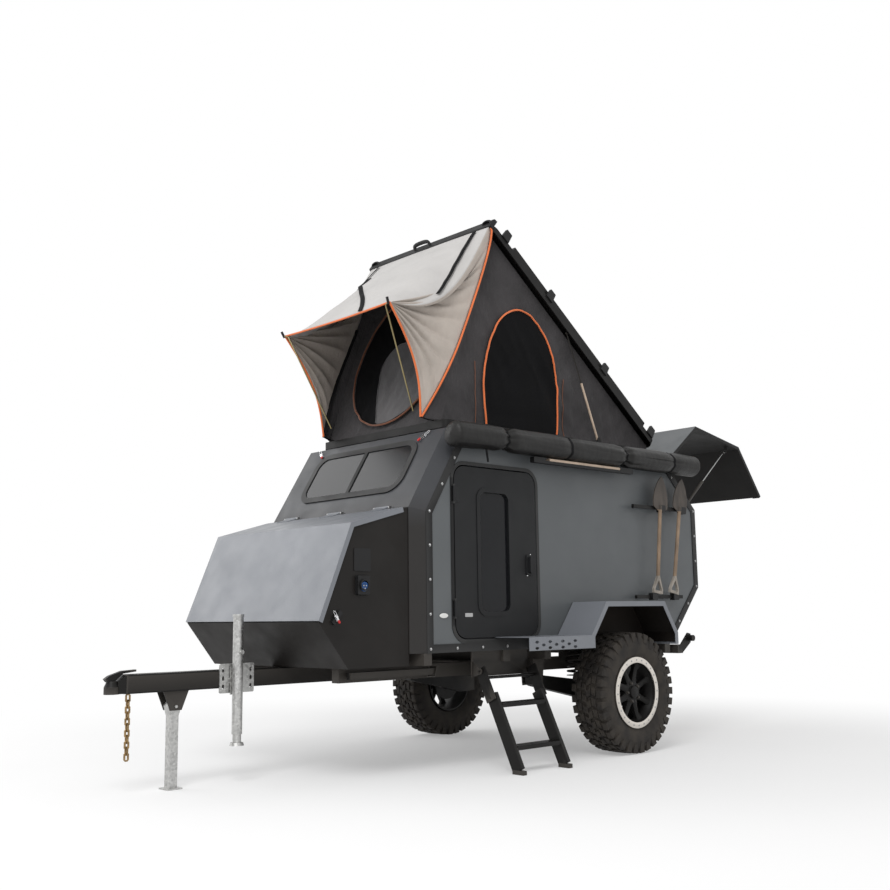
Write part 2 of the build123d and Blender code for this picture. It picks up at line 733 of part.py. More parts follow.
save(hatch_frame.part, "hatch_frame")

# Gas struts: barrel eye on the fixed pin, rod eye on the moving one


def strut_barrel(pin, end, half_x, radius, length, eye_width):
    """Two barrels, one each side, from the fixed pin towards the moving one."""
    axis = heading(pin, end)
    with BuildPart() as barrel:
        for side in (1, -1):
            with BuildSketch(Plane.YZ.offset(side * half_x - eye_width / 2)):
                with Locations(pin):
                    Circle(radius)
                    Circle(strut_pin_radius + 0.3, mode=Mode.SUBTRACT)
            extrude(amount=eye_width)
            start = moved(pin, axis, radius - 1)
            direction = (0, cos(radians(axis)), sin(radians(axis)))
            tube_plane = Plane(origin=(side * half_x, *start), x_dir=(1, 0, 0), z_dir=direction)
            with BuildSketch(tube_plane):
                Circle(radius)
            extrude(amount=length)
            with BuildSketch(tube_plane.offset(length)):
                Circle(strut_rod_radius + 0.3)
            extrude(amount=-(length - 20), mode=Mode.SUBTRACT)
    return barrel.part


def strut_rod(pin, end, half_x, barrel_end, stroke, eye_width):
    """Two rods, one each side, from the moving pin back into the barrels."""
    axis = heading(end, pin)
    length = distance(pin, end) - barrel_end + stroke
    with BuildPart() as rod:
        for side in (1, -1):
            with BuildSketch(Plane.YZ.offset(side * half_x - eye_width / 2)):
                with Locations(end):
                    Circle(strut_pin_radius + 5)
            extrude(amount=eye_width)
            start = moved(end, axis, strut_pin_radius + 4)
            direction = (0, cos(radians(axis)), sin(radians(axis)))
            with BuildSketch(Plane(origin=(side * half_x, *start), x_dir=(1, 0, 0), z_dir=direction)):
                Circle(strut_rod_radius)
            extrude(amount=length)
    return rod.part


strut_radius = 11.0
strut_rod_radius = 5.0
hatch_barrel_share = 0.4965  # barrel's part of the strut's length
hatch_barrel_length = hatch_barrel_share * distance(hatch_body_pin, hatch_pin)
hatch_rod_short = 10.0
save(strut_barrel(hatch_body_pin, hatch_pin, hatch_strut_x, strut_radius, hatch_barrel_length, 14), "hatch_strut_barrels")
save(strut_rod(hatch_body_pin, hatch_pin, hatch_strut_x, hatch_barrel_length, -hatch_rod_short, 14), "hatch_strut_rods")

# Roof tent: base tray on three bars, hard lid hinged at the rear, fabric walls and front fly

tent_base_top = up(tent_base_height) + tent_base_thickness
tent_hinge = (aft(tent_hinge_behind), tent_base_top + tent_lid_gap)
tent_strut_x = 580.0
tent_body_pin = (aft(180), tent_base_top + 26)
with BuildPart() as tent_base:
    with BuildSketch(Plane.XY.offset(up(tent_base_height))):
        with Locations((0, (fore(tent_front_ahead) + aft(tent_hinge_behind)) / 2)):
            RectangleRounded(2 * tent_half_width, tent_front_ahead + tent_hinge_behind, 40)
    extrude(amount=tent_base_thickness)
    for y in (fore(1150), fore(350), aft(560)):
        with BuildSketch(Plane.XY.offset(up(roof_height))):
            with Locations((0, y)):
                Rectangle(2 * inner_x - 40, 50)
        extrude(amount=tent_base_height - roof_height)
    for side in (1, -1):
        # Strut ears and rear hinge knuckles
        with BuildSketch(Plane.YZ.offset(side * (tent_strut_x + 10))):
            Polygon(
                (tent_body_pin[0] - 25, tent_base_top - 1), (tent_body_pin[0] + 25, tent_base_top - 1),
                (tent_body_pin[0] + 9, tent_body_pin[1] + 8), (tent_body_pin[0] - 9, tent_body_pin[1] + 8),
                align=None,
            )
        extrude(amount=side * 5)
        with BuildSketch(Plane.YZ.offset(side * (tent_strut_x + 10))):
            with Locations(tent_body_pin):
                Circle(strut_pin_radius)
        extrude(amount=-side * 17)
        with BuildSketch(Plane.YZ.offset(side * 400 - 60 - hinge_ear)):
            with Locations(tent_hinge):
                Circle(hinge_pin)
        extrude(amount=120 + 2 * hinge_ear)
        for end in (side * 400 - 60.3 - hinge_ear, side * 400 + 60.3):
            with BuildSketch(Plane.YZ.offset(end)):
                with Locations(tent_hinge):
                    Circle(8)
                Polygon(
                    (tent_hinge[0] - 8, tent_hinge[1]), (tent_hinge[0] - 12, tent_base_top - 1),
                    (tent_hinge[0] - 0.5, tent_base_top - 1), (tent_hinge[0] + 8, tent_hinge[1]), align=None,
                )
            extrude(amount=hinge_ear)
save(tent_base.part, "tent_base")

lid_tilt = tent_open
lid_plane = Plane(
    origin=(0, *tent_hinge), x_dir=(1, 0, 0),
    z_dir=(0, sin(radians(lid_tilt)), cos(radians(lid_tilt))),
)
lid_start = 14.0
lid_middle = -(lid_start + tent_lid_length) / 2
tent_lid_pin_along = 1164.0
tent_lid_pin_up = 14.0
lid_heading = 180 - tent_open
tent_lid_pin = moved(moved(tent_hinge, lid_heading, tent_lid_pin_along), lid_heading - 90, tent_lid_pin_up)
with BuildPart() as tent_lid:
    with BuildSketch(lid_plane):
        with Locations((0, lid_middle)):
            RectangleRounded(2 * tent_half_width, tent_lid_length - lid_start, 60)
    extrude(amount=tent_lid_thickness)
    chamfer(tent_lid.faces().sort_by(Axis(lid_plane.origin, lid_plane.z_dir))[-1].edges(), 14)
    with BuildSketch(lid_plane):
        with Locations((0, lid_middle)):
            RectangleRounded(2 * (tent_half_width - 9), tent_lid_length - lid_start - 18, 51)
    extrude(amount=tent_lid_thickness - 14, mode=Mode.SUBTRACT)
    # Load rails along the lid's sides, and crossbars
    for side in (1, -1):
        with BuildSketch(lid_plane.offset(tent_lid_thickness)):
            with Locations((side * (tent_half_width - 40), -1020)):
                Rectangle(34, 1700)
        extrude(amount=42)
        # Stud for the strut's upper eye
        with BuildSketch(Plane.YZ.offset(side * (tent_half_width - 9))):
            with Locations(tent_lid_pin):
                Circle(strut_pin_radius)
        extrude(amount=-side * (tent_half_width - 9 - tent_strut_x - 7))
    # Hinge knuckles at the rear
    for side in (1, -1):
        with BuildSketch(Plane.YZ.offset(side * 400 - 60)):
            with Locations(tent_hinge):
                Circle(8)
            Polygon(
                moved(tent_hinge, lid_heading - 90, 8), moved(tent_hinge, lid_heading, 3),
                moved(tent_hinge, lid_heading, lid_start + 8),
                moved(moved(tent_hinge, lid_heading, lid_start + 8), lid_heading - 90, 8), align=None,
            )
            with Locations(tent_hinge):
                Circle(hinge_bore, mode=Mode.SUBTRACT)
        extrude(amount=120)
save(tent_lid.part, "tent_lid")

tent_barrel_length = 400.0
save(strut_barrel(tent_body_pin, tent_lid_pin, tent_strut_x, 8, tent_barrel_length, 12), "tent_strut_barrels")
save(strut_rod(tent_body_pin, tent_lid_pin, tent_strut_x, tent_barrel_length, 0, 12), "tent_strut_rods")

fabric_low = tent_base_top + 0.3
fabric_front = (fore(tent_front_ahead) + 12, fabric_low)
fabric_top = moved(moved(tent_hinge, lid_heading, tent_lid_length - 75), lid_heading + 90, 2)
fabric_rear = crossing(moved(tent_hinge, lid_heading + 90, 2), lid_heading, (0, fabric_low), 0)
with BuildPart() as tent_fabric:
    with BuildSketch(Plane.YZ.offset(-tent_fabric_half)):
        Polygon(fabric_front, fabric_top, fabric_rear, align=None)
    extrude(amount=2 * tent_fabric_half)
    with BuildSketch(Plane.YZ.offset(-(tent_fabric_half - fabric_thickness))):
        Polygon(
            (fabric_front[0] + fabric_thickness, fabric_low - 5), (fabric_top[0] + fabric_thickness, fabric_top[1] + 5),
            (fabric_rear[0] + 30, fabric_top[1] + 5), (fabric_rear[0] + 30, fabric_low - 5), align=None,
        )
    extrude(amount=2 * (tent_fabric_half - fabric_thickness), mode=Mode.SUBTRACT)
save(tent_fabric.part, "tent_fabric")

# Fly: a hood from the lid's front edge out to two poles, with side wings down to the base corners

fly_half = 534.0
fly_reach, fly_rise = 376.0, 672.0      # pole tips ahead of the base and above it
fly_foot_reach, fly_foot_rise = 93.0, 31.0
fly_tip = (fore(tent_front_ahead + fly_reach), tent_base_top + fly_rise)
fly_low = (fore(tent_front_ahead + fly_foot_reach), tent_base_top + fly_foot_rise)
fly_side_top = moved(moved(tent_hinge, lid_heading, tent_lid_length + 0.3), lid_heading + 90, 0.3)
with BuildPart() as tent_fly:
    with BuildSketch(Plane.YZ.offset(-fly_half)):
        Polygon(fly_side_top, fly_tip, fly_low, align=None)
    extrude(amount=2 * fly_half)
    with BuildSketch(Plane.YZ.offset(-(fly_half - fabric_thickness))):
        top_dir = heading(fly_tip, fly_side_top)
        Polygon(
            moved(fly_tip, top_dir - 90, fabric_thickness), moved(fly_side_top, top_dir - 90, fabric_thickness),
            (fly_side_top[0] + 50, fly_low[1]), fly_low, (fly_tip[0] - 100, fly_low[1]),
            (fly_tip[0] - 100, fly_tip[1] - 40), align=None,
        )
    extrude(amount=2 * (fly_half - fabric_thickness), mode=Mode.SUBTRACT)
save(tent_fly.part, "tent_fly")

# Awning in its bag on a rail, with a light bar below it

awning_x = 818.0
awning_half = 78.0
awning_drop = 57.0           # bag's middle below the roof
awning_mid_height = roof_height - awning_drop
awning_rail_drop = 28.0
awning_front_ahead = 1473.0
awning_length = 2480.0
with BuildPart() as awning_rail:
    with BuildSketch(Plane.YZ.offset(wall_x + trim_thickness)):
        with Locations((fore(awning_front_ahead) + awning_length / 2 + 60, up(roof_height - awning_rail_drop))):
            Rectangle(awning_length - 380, 40)
    extrude(amount=awning_x - awning_half - wall_x - trim_thickness - 0.3)
save(awning_rail.part, "awning_rail")
with BuildPart() as awning_bag:
    with BuildSketch(Plane.XZ.offset(-fore(awning_front_ahead))):
        with Locations((awning_x, up(awning_mid_height))):
            RectangleRounded(2 * awning_half, 2 * awning_half + 6, 60)
    extrude(amount=-awning_length)
save(awning_bag.part, "awning_bag")

light_length = 770.0
with BuildPart() as light_bar:
    with BuildSketch(Plane.XZ.offset(-(fore(612)))):
        with Locations((awning_x - 6, up(awning_mid_height) - awning_half - 3 - 17.3)):
            RectangleRounded(34, 34, 6)
    extrude(amount=-light_length)
save(light_bar.part, "light_bar")

# Shovel rack and its two shovels

rack_x = 800.0
rack_half = 12.0
rack_front, rack_rear = 300.0, 860.0
rack_low_height = 988.0
blade_length = 225.0
blade_half = 80.0
grip_half = 50.0
shovel_gap = 18.0            # blade tips below the awning's bag
shovel_grip_up = 22.0        # grips above the lower bar
shovel_tip_height = awning_mid_height - awning_half - 3 - shovel_gap
with BuildPart() as shovel_rack:
    # Columns: front end, rear end, height
    rack_bars = (
        (rack_front, rack_rear, shovel_tip_height - blade_length),
        (rack_front, rack_rear - 30, rack_low_height),
    )
    for front, rear, height in rack_bars:
        with BuildSketch(Plane.YZ.offset(rack_x - 40)):
            with Locations((aft((front + rear) / 2), up(height))):
                Rectangle(rear - front, 2 * rack_half)
        extrude(amount=20)
        for y in (front + 60, rear - 60):
            with BuildSketch(Plane.YZ.offset(wall_x)):
                with Locations((aft(y), up(height))):
                    Circle(9)
            extrude(amount=rack_x - 40 - wall_x)
save(shovel_rack.part, "shovel_rack")

shaft_radius = 13.0
shovel_x = rack_x + shaft_radius - 19.7
with BuildPart() as shovels:
    # Columns: blade tip behind the axle, grip behind the axle
    for tip, grip in ((612, 512), (860, 700)):
        low, high = (aft(grip), up(rack_low_height + shovel_grip_up)), (aft(tip), up(shovel_tip_height))
        lean = heading(low, high)
        blade_foot = distance(low, high) - blade_length
        run = Plane(
            origin=(shovel_x, *low), x_dir=(1, 0, 0),
            z_dir=(0, cos(radians(lean)), sin(radians(lean))),
        )
        with BuildSketch(run.offset(104)):
            Circle(shaft_radius)
        extrude(amount=blade_foot + 14 - 104)
        blade_plane = Plane(origin=(shovel_x, *low), x_dir=(0, sin(radians(lean)), -cos(radians(lean))), z_dir=(1, 0, 0))
        with BuildSketch(blade_plane.offset(-3)):
            with BuildLine():
                ThreePointArc((-blade_half, blade_foot), (-0.9 * blade_half, blade_foot + 110), (0, blade_foot + blade_length))
                ThreePointArc((0, blade_foot + blade_length), (0.9 * blade_half, blade_foot + 110), (blade_half, blade_foot))
                Polyline((blade_half, blade_foot), (17, blade_foot - 26), (-17, blade_foot - 26), (-blade_half, blade_foot))
            make_face()
        extrude(amount=6)
        # Forked grip, with its bar across the end
        with BuildSketch(blade_plane.offset(-9)):
            Polygon((-10, 122), (10, 122), (grip_half, 30), (grip_half, 0), (-grip_half, 0), (-grip_half, 30), align=None)
            Polygon((0, 96), (grip_half - 14, 32), (grip_half - 14, 20), (14 - grip_half, 20), (14 - grip_half, 32),
                    align=None, mode=Mode.SUBTRACT)
        extrude(amount=18)
save(shovels.part, "shovels")

# Fenders with perforated step plates

fender_x = 1000.0
fender_sheet = 3.0
fender_top = 955.0
fender_foot_height = 750.0
fender_end_height = 672.0
fender_lip = 32.0
# Columns: way along Y, arch's foot and shoulder from the axle
fender_ends = ((-1, 465.0, 309.0), (1, 437.0, 301.0))
step_front_ahead = 1030.0
step_top_height = 750.0
step_gussets = (500.0, 735.0)
hole_wide, hole_tall = 36.0, 16.0
hole_pitch = 57.0            # between columns of holes
hole_rise = 17.5             # rows above and below the skirt's middle row
hole_first = 66.0            # first column behind the step's front end
hole_columns = 7


def fender_line(set_in):
    """The fender's arch, moved inwards by its sheet."""
    line = []
    for way, foot, shoulder in fender_ends:
        slope = heading((0, fender_foot_height), (foot - shoulder, fender_top))
        side = moved((-foot, fender_foot_height), slope - 90, set_in)
        knee = crossing((set_in - foot, 0), 90, side, slope)
        top = crossing(side, slope, (0, fender_top - set_in), 0)
        line += [(axle_y - way * y, up(z)) for y, z in ((set_in - foot, fender_end_height), knee, top)][::-way]
    return line


fender_root = wall_x + trim_thickness
for side, word in ((1, "left"), (-1, "right")):
    with BuildPart() as fender:
        with BuildSketch(Plane.YZ.offset(fender_root)):
            Polygon(*fender_line(0), align=None)
            Polygon(*fender_line(fender_sheet), align=None, mode=Mode.SUBTRACT)
        extrude(amount=fender_x - fender_root)
        with BuildSketch(Plane.YZ.offset(fender_x - fender_sheet)):
            Polygon(*fender_line(0), align=None)
            Polygon(*fender_line(fender_lip), align=None, mode=Mode.SUBTRACT)
        extrude(amount=fender_sheet)
        # Step plate: tread top and outer skirt of one folded sheet, open at its front, on gussets
        step_foot = fender_ends[0][1] - 1
        with BuildSketch(Plane.XZ.offset(-fore(step_front_ahead))):
            Polygon(
                (fender_root, up(step_top_height)), (fender_x, up(step_top_height)),
                (fender_x, up(fender_end_height)), (fender_x - fender_sheet, up(fender_end_height)),
                (fender_x - fender_sheet, up(step_top_height) - fender_sheet),
                (fender_root, up(step_top_height) - fender_sheet), align=None,
            )
        extrude(amount=-(step_front_ahead - step_foot))
        for ahead in step_gussets:
            with BuildSketch(Plane.XZ.offset(-fore(ahead))):
                Polygon(
                    (fender_root, up(step_top_height) - 1), (fender_x - 1, up(step_top_height) - 1),
                    (fender_x - 1, up(step_top_height) - 30), (fender_root, up(fender_end_height)), align=None,
                )
            extrude(amount=-fender_sheet)
        # Flattened six-sided holes, two and one by turns
        middle = up((step_top_height + fender_end_height) / 2 - 7.5)
        places = []
        for column in range(hole_columns):
            rows = (0,) if column % 2 else (-hole_rise, hole_rise)
            places += [(fore(step_front_ahead) + hole_first + column * hole_pitch, middle + row) for row in rows]
        with BuildSketch(Plane.YZ.offset(fender_x + 1)):
            with Locations(*places):
                Polygon(
                    (-hole_wide / 2, 0), (-hole_wide / 4, hole_tall / 2), (hole_wide / 4, hole_tall / 2),
                    (hole_wide / 2, 0), (hole_wide / 4, -hole_tall / 2), (-hole_wide / 4, -hole_tall / 2), align=None,
                )
        extrude(amount=-(fender_sheet + 2), mode=Mode.SUBTRACT)
        if side < 0:
            mirror(about=Plane.YZ, mode=Mode.REPLACE)
    save(fender.part, "fender_" + word)

# Chassis: two rails

rail_top = up(nose_bottom_height)
rail_low = rail_top - rail_tall
rail_front_ahead = 2050.0
rail_rear_behind = 790.0
with BuildPart() as chassis_frame:
    with BuildSketch(Plane.XZ.offset(-fore(rail_front_ahead))):
        with Locations((rail_x, rail_low + rail_tall / 2), (-rail_x, rail_low + rail_tall / 2)):
            Rectangle(rail_width, rail_tall)
    extrude(amount=-(rail_front_ahead + rail_rear_behind))
save(chassis_frame.part, "chassis_frame")

# Cross-members on the rails, out to the side walls, and two low ones that the drawbar passes through

cross_width = 60.0
sill_cross_y = fore(930)
arm_cross_y = fore(560)
cross_places = (fore(1570), sill_cross_y, arm_cross_y, aft(300), aft(700))
low_cross_places = (fore(1640), fore(1000))
with BuildPart() as cross_members:
    with BuildSketch(Plane.XY.offset(rail_top)):
        with Locations(*[(0, y) for y in cross_places]):
            Rectangle(2 * wall_x, cross_width)
    extrude(amount=cross_tall)
    for y in low_cross_places:
        with BuildSketch(Plane.XZ.offset(-(y - cross_width / 2))):
            with Locations((0, rail_low + rail_tall / 2)):
                Rectangle(2 * rail_x - rail_width, rail_tall)
                Rectangle(drawbar_width + 1, rail_tall + 2, mode=Mode.SUBTRACT)
        extrude(amount=-cross_width)
save(cross_members.part, "cross_members")

# Brackets: hanger plates of the trailing arms, spring towers and the ladder's bracket

arm_pivot = (arm_cross_y, up(470))
hanger_gap = 96.0            # between an arm's two hanger plates
hanger_plate = 8.0
ladder_pivot = (760.0, up(558))
ladder_front_ahead = 1176.0
ladder_rear_ahead = 762.0
ladder_plate_drop = 146.0
ladder_plate_inset = 24.0
ladder_middle_y = (fore(ladder_front_ahead) + fore(ladder_rear_ahead)) / 2
tower_length = 380.0
tower_rise = 44.0            # spring shelf above the rails' top
with BuildPart() as chassis_brackets:
    for side in (1, -1):
        hanger_x = rail_x + rail_width / 2
        for x in (hanger_x, hanger_x + hanger_plate + hanger_gap):
            with BuildSketch(Plane.YZ.offset(side * x)):
                Polygon(
                    (arm_pivot[0] - 52, rail_top), (arm_pivot[0] + 52, rail_top),
                    (arm_pivot[0] + 34, arm_pivot[1] - 30), (arm_pivot[0] - 34, arm_pivot[1] - 30), align=None,
                )
            extrude(amount=side * hanger_plate)
        # Spring tower: an upright web on the rail and its shelf
        with BuildSketch(Plane.XY.offset(rail_top + tower_rise)):
            with Locations((side * (rail_x + 90), fore(40))):
                Rectangle(132, tower_length)
        extrude(amount=10)
        with BuildSketch(Plane.YZ.offset(side * (rail_x + rail_width / 2))):
            with Locations((fore(40), rail_top)):
                Rectangle(tower_length, tower_rise + 10, align=(Align.CENTER, Align.MIN))
        extrude(amount=-side * 8)
    # Ladder's plate under the left sill, notched for the cross-member, with its two ears
    with BuildSketch(Plane.YZ.offset(wall_x - ladder_plate_inset)):
        with Locations((ladder_middle_y, up(floor_height))):
            Rectangle(
                ladder_front_ahead - ladder_rear_ahead + 66, ladder_plate_drop, align=(Align.CENTER, Align.MAX),
            )
        with Locations((sill_cross_y, up(floor_height))):
            Rectangle(cross_width, cross_tall, align=(Align.CENTER, Align.MAX), mode=Mode.SUBTRACT)
    extrude(amount=6)
    for y in (fore(ladder_front_ahead) - 25, fore(ladder_rear_ahead) + 31):
        with BuildSketch(Plane.XZ.offset(-y)):
            with Locations(ladder_pivot):
                Circle(17)
            Polygon(
                (wall_x - 20, ladder_pivot[1] + 60), (ladder_pivot[0] - 5, ladder_pivot[1] + 15),
                (ladder_pivot[0], ladder_pivot[1] - 17), (wall_x - 20, ladder_pivot[1] - 30), align=None,
            )
            with Locations(ladder_pivot):
                Circle(6.3, mode=Mode.SUBTRACT)
        extrude(amount=-6)
save(chassis_brackets.part, "chassis_brackets")

# Drawbar, coupling and chain

drawbar_front = 58.0
drawbar_end = fore(900)
drawbar_top = rail_top - 2
drawbar_mid = drawbar_top - drawbar_tall / 2
leg_pivot = (fore(2750), up(425))
leg_half = 25.0
with BuildPart() as drawbar:
    with BuildSketch(Plane.XZ.offset(-drawbar_front)):
        with Locations((0, drawbar_mid)):
            RectangleRounded(drawbar_width, drawbar_tall, 8)
            Rectangle(drawbar_width - 2 * tube_wall, drawbar_tall - 2 * tube_wall, mode=Mode.SUBTRACT)
    extrude(amount=-(drawbar_end - drawbar_front))
    # Front plate that the coupling is bolted to
    with BuildSketch(Plane.XZ.offset(-drawbar_front)):
        with Locations((0, drawbar_mid)):
            Rectangle(drawbar_width, drawbar_tall)
    extrude(amount=-10)
    # Cheeks of the drop leg
    for side in (1, -1):
        with BuildSketch(Plane.YZ.offset(side * (leg_half + 6))):
            Polygon(
                (leg_pivot[0] - 75, drawbar_top - drawbar_tall + 1), (leg_pivot[0] + 75, drawbar_top - drawbar_tall + 1),
                (leg_pivot[0] + 34, leg_pivot[1] - 20), (leg_pivot[0] - 34, leg_pivot[1] - 20), align=None,
            )
            with Locations(leg_pivot):
                Circle(8.3, mode=Mode.SUBTRACT)
        extrude(amount=side * 6)
save(drawbar.part, "drawbar")

socket_radius = 25.4
socket_wall = 14.0
socket_length = 24.0
with BuildPart() as coupling:
    with BuildSketch(Plane.YZ):
        with BuildLine():
            Polyline((0, -socket_length), (socket_radius + socket_wall, -socket_length))
            Line((socket_radius + socket_wall, -socket_length), (socket_radius + socket_wall, 12))
            Line((socket_radius + socket_wall, 12), (26, 42))
            Line((26, 42), (0, 46))
            Line((0, 46), (0, -socket_length))
        make_face()
    revolve(axis=Axis.Z)
    # Neck and mounting head
    with BuildSketch(Plane.XZ.offset(-20)):
        with Locations((0, 6)):
            Rectangle(58, 60)
    with BuildSketch(Plane.XZ.offset(-drawbar_front)):
        with Locations((0, drawbar_mid)):
            Rectangle(drawbar_width - 8, drawbar_tall - 8)
    loft()
    # Hand lever on top
    with BuildSketch(Plane.YZ.offset(-14)):
        Polygon((-30, 38), (-44, 54), (-20, 70), (50, 92), (128, 96), (128, 86), (54, 78), (10, 40), align=None)
    extrude(amount=28)
    # Ball socket: straight bore under a coned crown
    with BuildSketch(Plane.YZ):
        Polygon(
            (0, -socket_length), (socket_radius, -socket_length), (socket_radius, 0),
            (socket_radius * 0.7, socket_radius * 0.7), (0, socket_radius), align=None,
        )
    revolve(axis=Axis.Z, mode=Mode.SUBTRACT)
save(coupling.part, "coupling")

link_wire = 8.0
link_long = 46.0
link_wide = 28.0
link_pitch = link_long - 2 * link_wire - 0.6
chain_links = 11
chain_x, chain_y = 0.0, 34.0
with BuildPart() as safety_chain:
    chain_top = drawbar_top - drawbar_tall - 0.3
    for number in range(chain_links):
        middle = chain_top - link_long / 2 - number * link_pitch
        facing = Plane.XZ if number % 2 else Plane.YZ
        link_plane = Plane(origin=(chain_x, drawbar_front + chain_y, middle), x_dir=facing.x_dir, z_dir=facing.z_dir)
        with BuildSketch(link_plane.offset(-link_wire / 2)) as link:
            Rectangle(link_wide, link_long)
            chamfer(link.vertices(), link_wide * 0.3)
            Rectangle(link_wide - 2 * link_wire, link_long - 2 * link_wire, mode=Mode.SUBTRACT)
        extrude(amount=link_wire)
save(safety_chain.part, "safety_chain")

# Drop leg under the drawbar

leg_foot = 45.0
with BuildPart() as drop_leg:
    with BuildSketch(Plane.XY.offset(ground)):
        with Locations((0, leg_pivot[0])):
            Rectangle(2 * leg_foot, 2 * leg_foot)
    extrude(amount=8)
    with BuildSketch(Plane.XY.offset(ground + 8)):
        with Locations((0, leg_pivot[0])):
            RectangleRounded(2 * leg_half, 2 * leg_half, 4)
            Rectangle(2 * leg_half - 8, 2 * leg_half - 8, mode=Mode.SUBTRACT)
    extrude(amount=leg_pivot[1] - 45 - ground - 8)
    with BuildSketch(Plane.YZ.offset(-leg_half)):
        Polygon(
            (leg_pivot[0] - 40, leg_pivot[1] + 4), (leg_pivot[0] - 31, leg_pivot[1] + 24),
            (leg_pivot[0] - 13, leg_pivot[1] + 34), (leg_pivot[0] + 13, leg_pivot[1] + 34),
            (leg_pivot[0] + 31, leg_pivot[1] + 24), (leg_pivot[0] + 40, leg_pivot[1] + 4),
            (leg_pivot[0] + leg_half, leg_pivot[1] - 46), (leg_pivot[0] - leg_half, leg_pivot[1] - 46), align=None,
        )
    extrude(amount=2 * leg_half)
    # Pivot pin through both cheeks
    with BuildSketch(Plane.YZ.offset(-(leg_half + 18))):
        with Locations(leg_pivot):
            Circle(8)
    extrude(amount=2 * (leg_half + 18))
save(drop_leg.part, "drop_leg")

# Swivel jack on the drawbar's left side

jack_x = 96.0
jack_ahead = 2410.0
jack_pivot = (fore(jack_ahead), drawbar_mid - 9)
jack_radius = 28.5
jack_top = 903.0
jack_foot_height = 200.0
jack_foot_radius = 40.0
with BuildPart() as jack_bracket:
    with BuildSketch(Plane.YZ.offset(drawbar_width / 2)):
        with Locations((jack_pivot[0] + 20, jack_pivot[1] + 12)):
            RectangleRounded(220, 158, 8)
            with Locations(*[(y, z) for y in (-88, 88) for z in (-44, 0, 44)]):
                RectangleRounded(14, 24, 6.9, mode=Mode.SUBTRACT)
    extrude(amount=8)
    with BuildSketch(Plane.YZ.offset(drawbar_width / 2 + 8)):
        with Locations(jack_pivot):
            Circle(30)
    extrude(amount=6)
save(jack_bracket.part, "jack_bracket")
with BuildPart() as jack_tube:
    with BuildSketch(Plane.XY.offset(up(jack_foot_height) + 60)):
        with Locations((jack_x, jack_pivot[0])):
            Circle(jack_radius)
            Circle(jack_radius - 4, mode=Mode.SUBTRACT)
    extrude(amount=jack_top - jack_foot_height - 60)
    with BuildSketch(Plane.XY.offset(up(jack_top) - 14)):
        with Locations((jack_x, jack_pivot[0])):
            Circle(jack_radius + 3)
    extrude(amount=14)
    # Swivel plate against the bracket's boss
    with BuildSketch(Plane.YZ.offset(drawbar_width / 2 + 14.3)):
        with Locations(jack_pivot):
            Rectangle(58, 150)
    extrude(amount=8)
    # Socket for the crank
    with BuildSketch(Plane.YZ.offset(jack_x + jack_radius - 3)):
        with Locations((jack_pivot[0], up(jack_top) - 206)):
            RegularPolygon(13, 6)
    extrude(amount=20)
save(jack_tube.part, "jack_tube")
with BuildPart() as jack_ram:
    with BuildSketch(Plane.XY.offset(up(jack_foot_height))):
        with Locations((jack_x, jack_pivot[0])):
            Circle(jack_foot_radius)
    extrude(amount=16, taper=20)
    with BuildSketch(Plane.XY.offset(up(jack_foot_height) + 15)):
        with Locations((jack_x, jack_pivot[0])):
            Circle(jack_radius - 5)
    extrude(amount=411)
save(jack_ram.part, "jack_ram")

# Corner steadies, folded flat beside the rails

steady_x = 572.0
steady_half = 18.0
steady_length = 590.0
steady_height = 563.0
steady_pad = 6.0
steady_down = degrees(asin((steady_height - steady_pad) / steady_length))
steady_pin_radius = 8.0
# Columns: name, side, pivot behind the axle, direction it points
steadies = (
    ("corner_steady_front_left", 1, -1990, 1),
    ("corner_steady_front_right", -1, -1990, 1),
    ("corner_steady_rear_left", 1, 750, -1),
    ("corner_steady_rear_right", -1, 750, -1),
)
for name, side, behind, points in steadies:
    pivot = (aft(behind), up(steady_height))
    tip_y = pivot[0] + points * steady_length
    with BuildPart() as steady:
        with BuildSketch(Plane.XY.offset(pivot[1] - steady_half)):
            with Locations((side * steady_x, (pivot[0] + tip_y) / 2 - points * 10)):
                Rectangle(2 * steady_half, steady_length + 30)
        extrude(amount=2 * steady_half)
        # Pad square to the ground when the leg is down
        pad = Plane(
            origin=(side * steady_x, tip_y, pivot[1]), x_dir=(1, 0, 0),
            z_dir=(0, points * sin(radians(steady_down)), -cos(radians(steady_down))),
        )
        with BuildSketch(pad):
            Rectangle(60, 60)
        extrude(amount=steady_pad)
        # Pivot pin into the rail
        with BuildSketch(Plane.YZ.offset(side * (rail_x + rail_width / 2 + 0.3))):
            with Locations(pivot):
                Circle(steady_pin_radius)
        extrude(amount=side * (steady_x - rail_x - rail_width / 2))
    save(steady.part, name)

# Trailing arms with stub axles

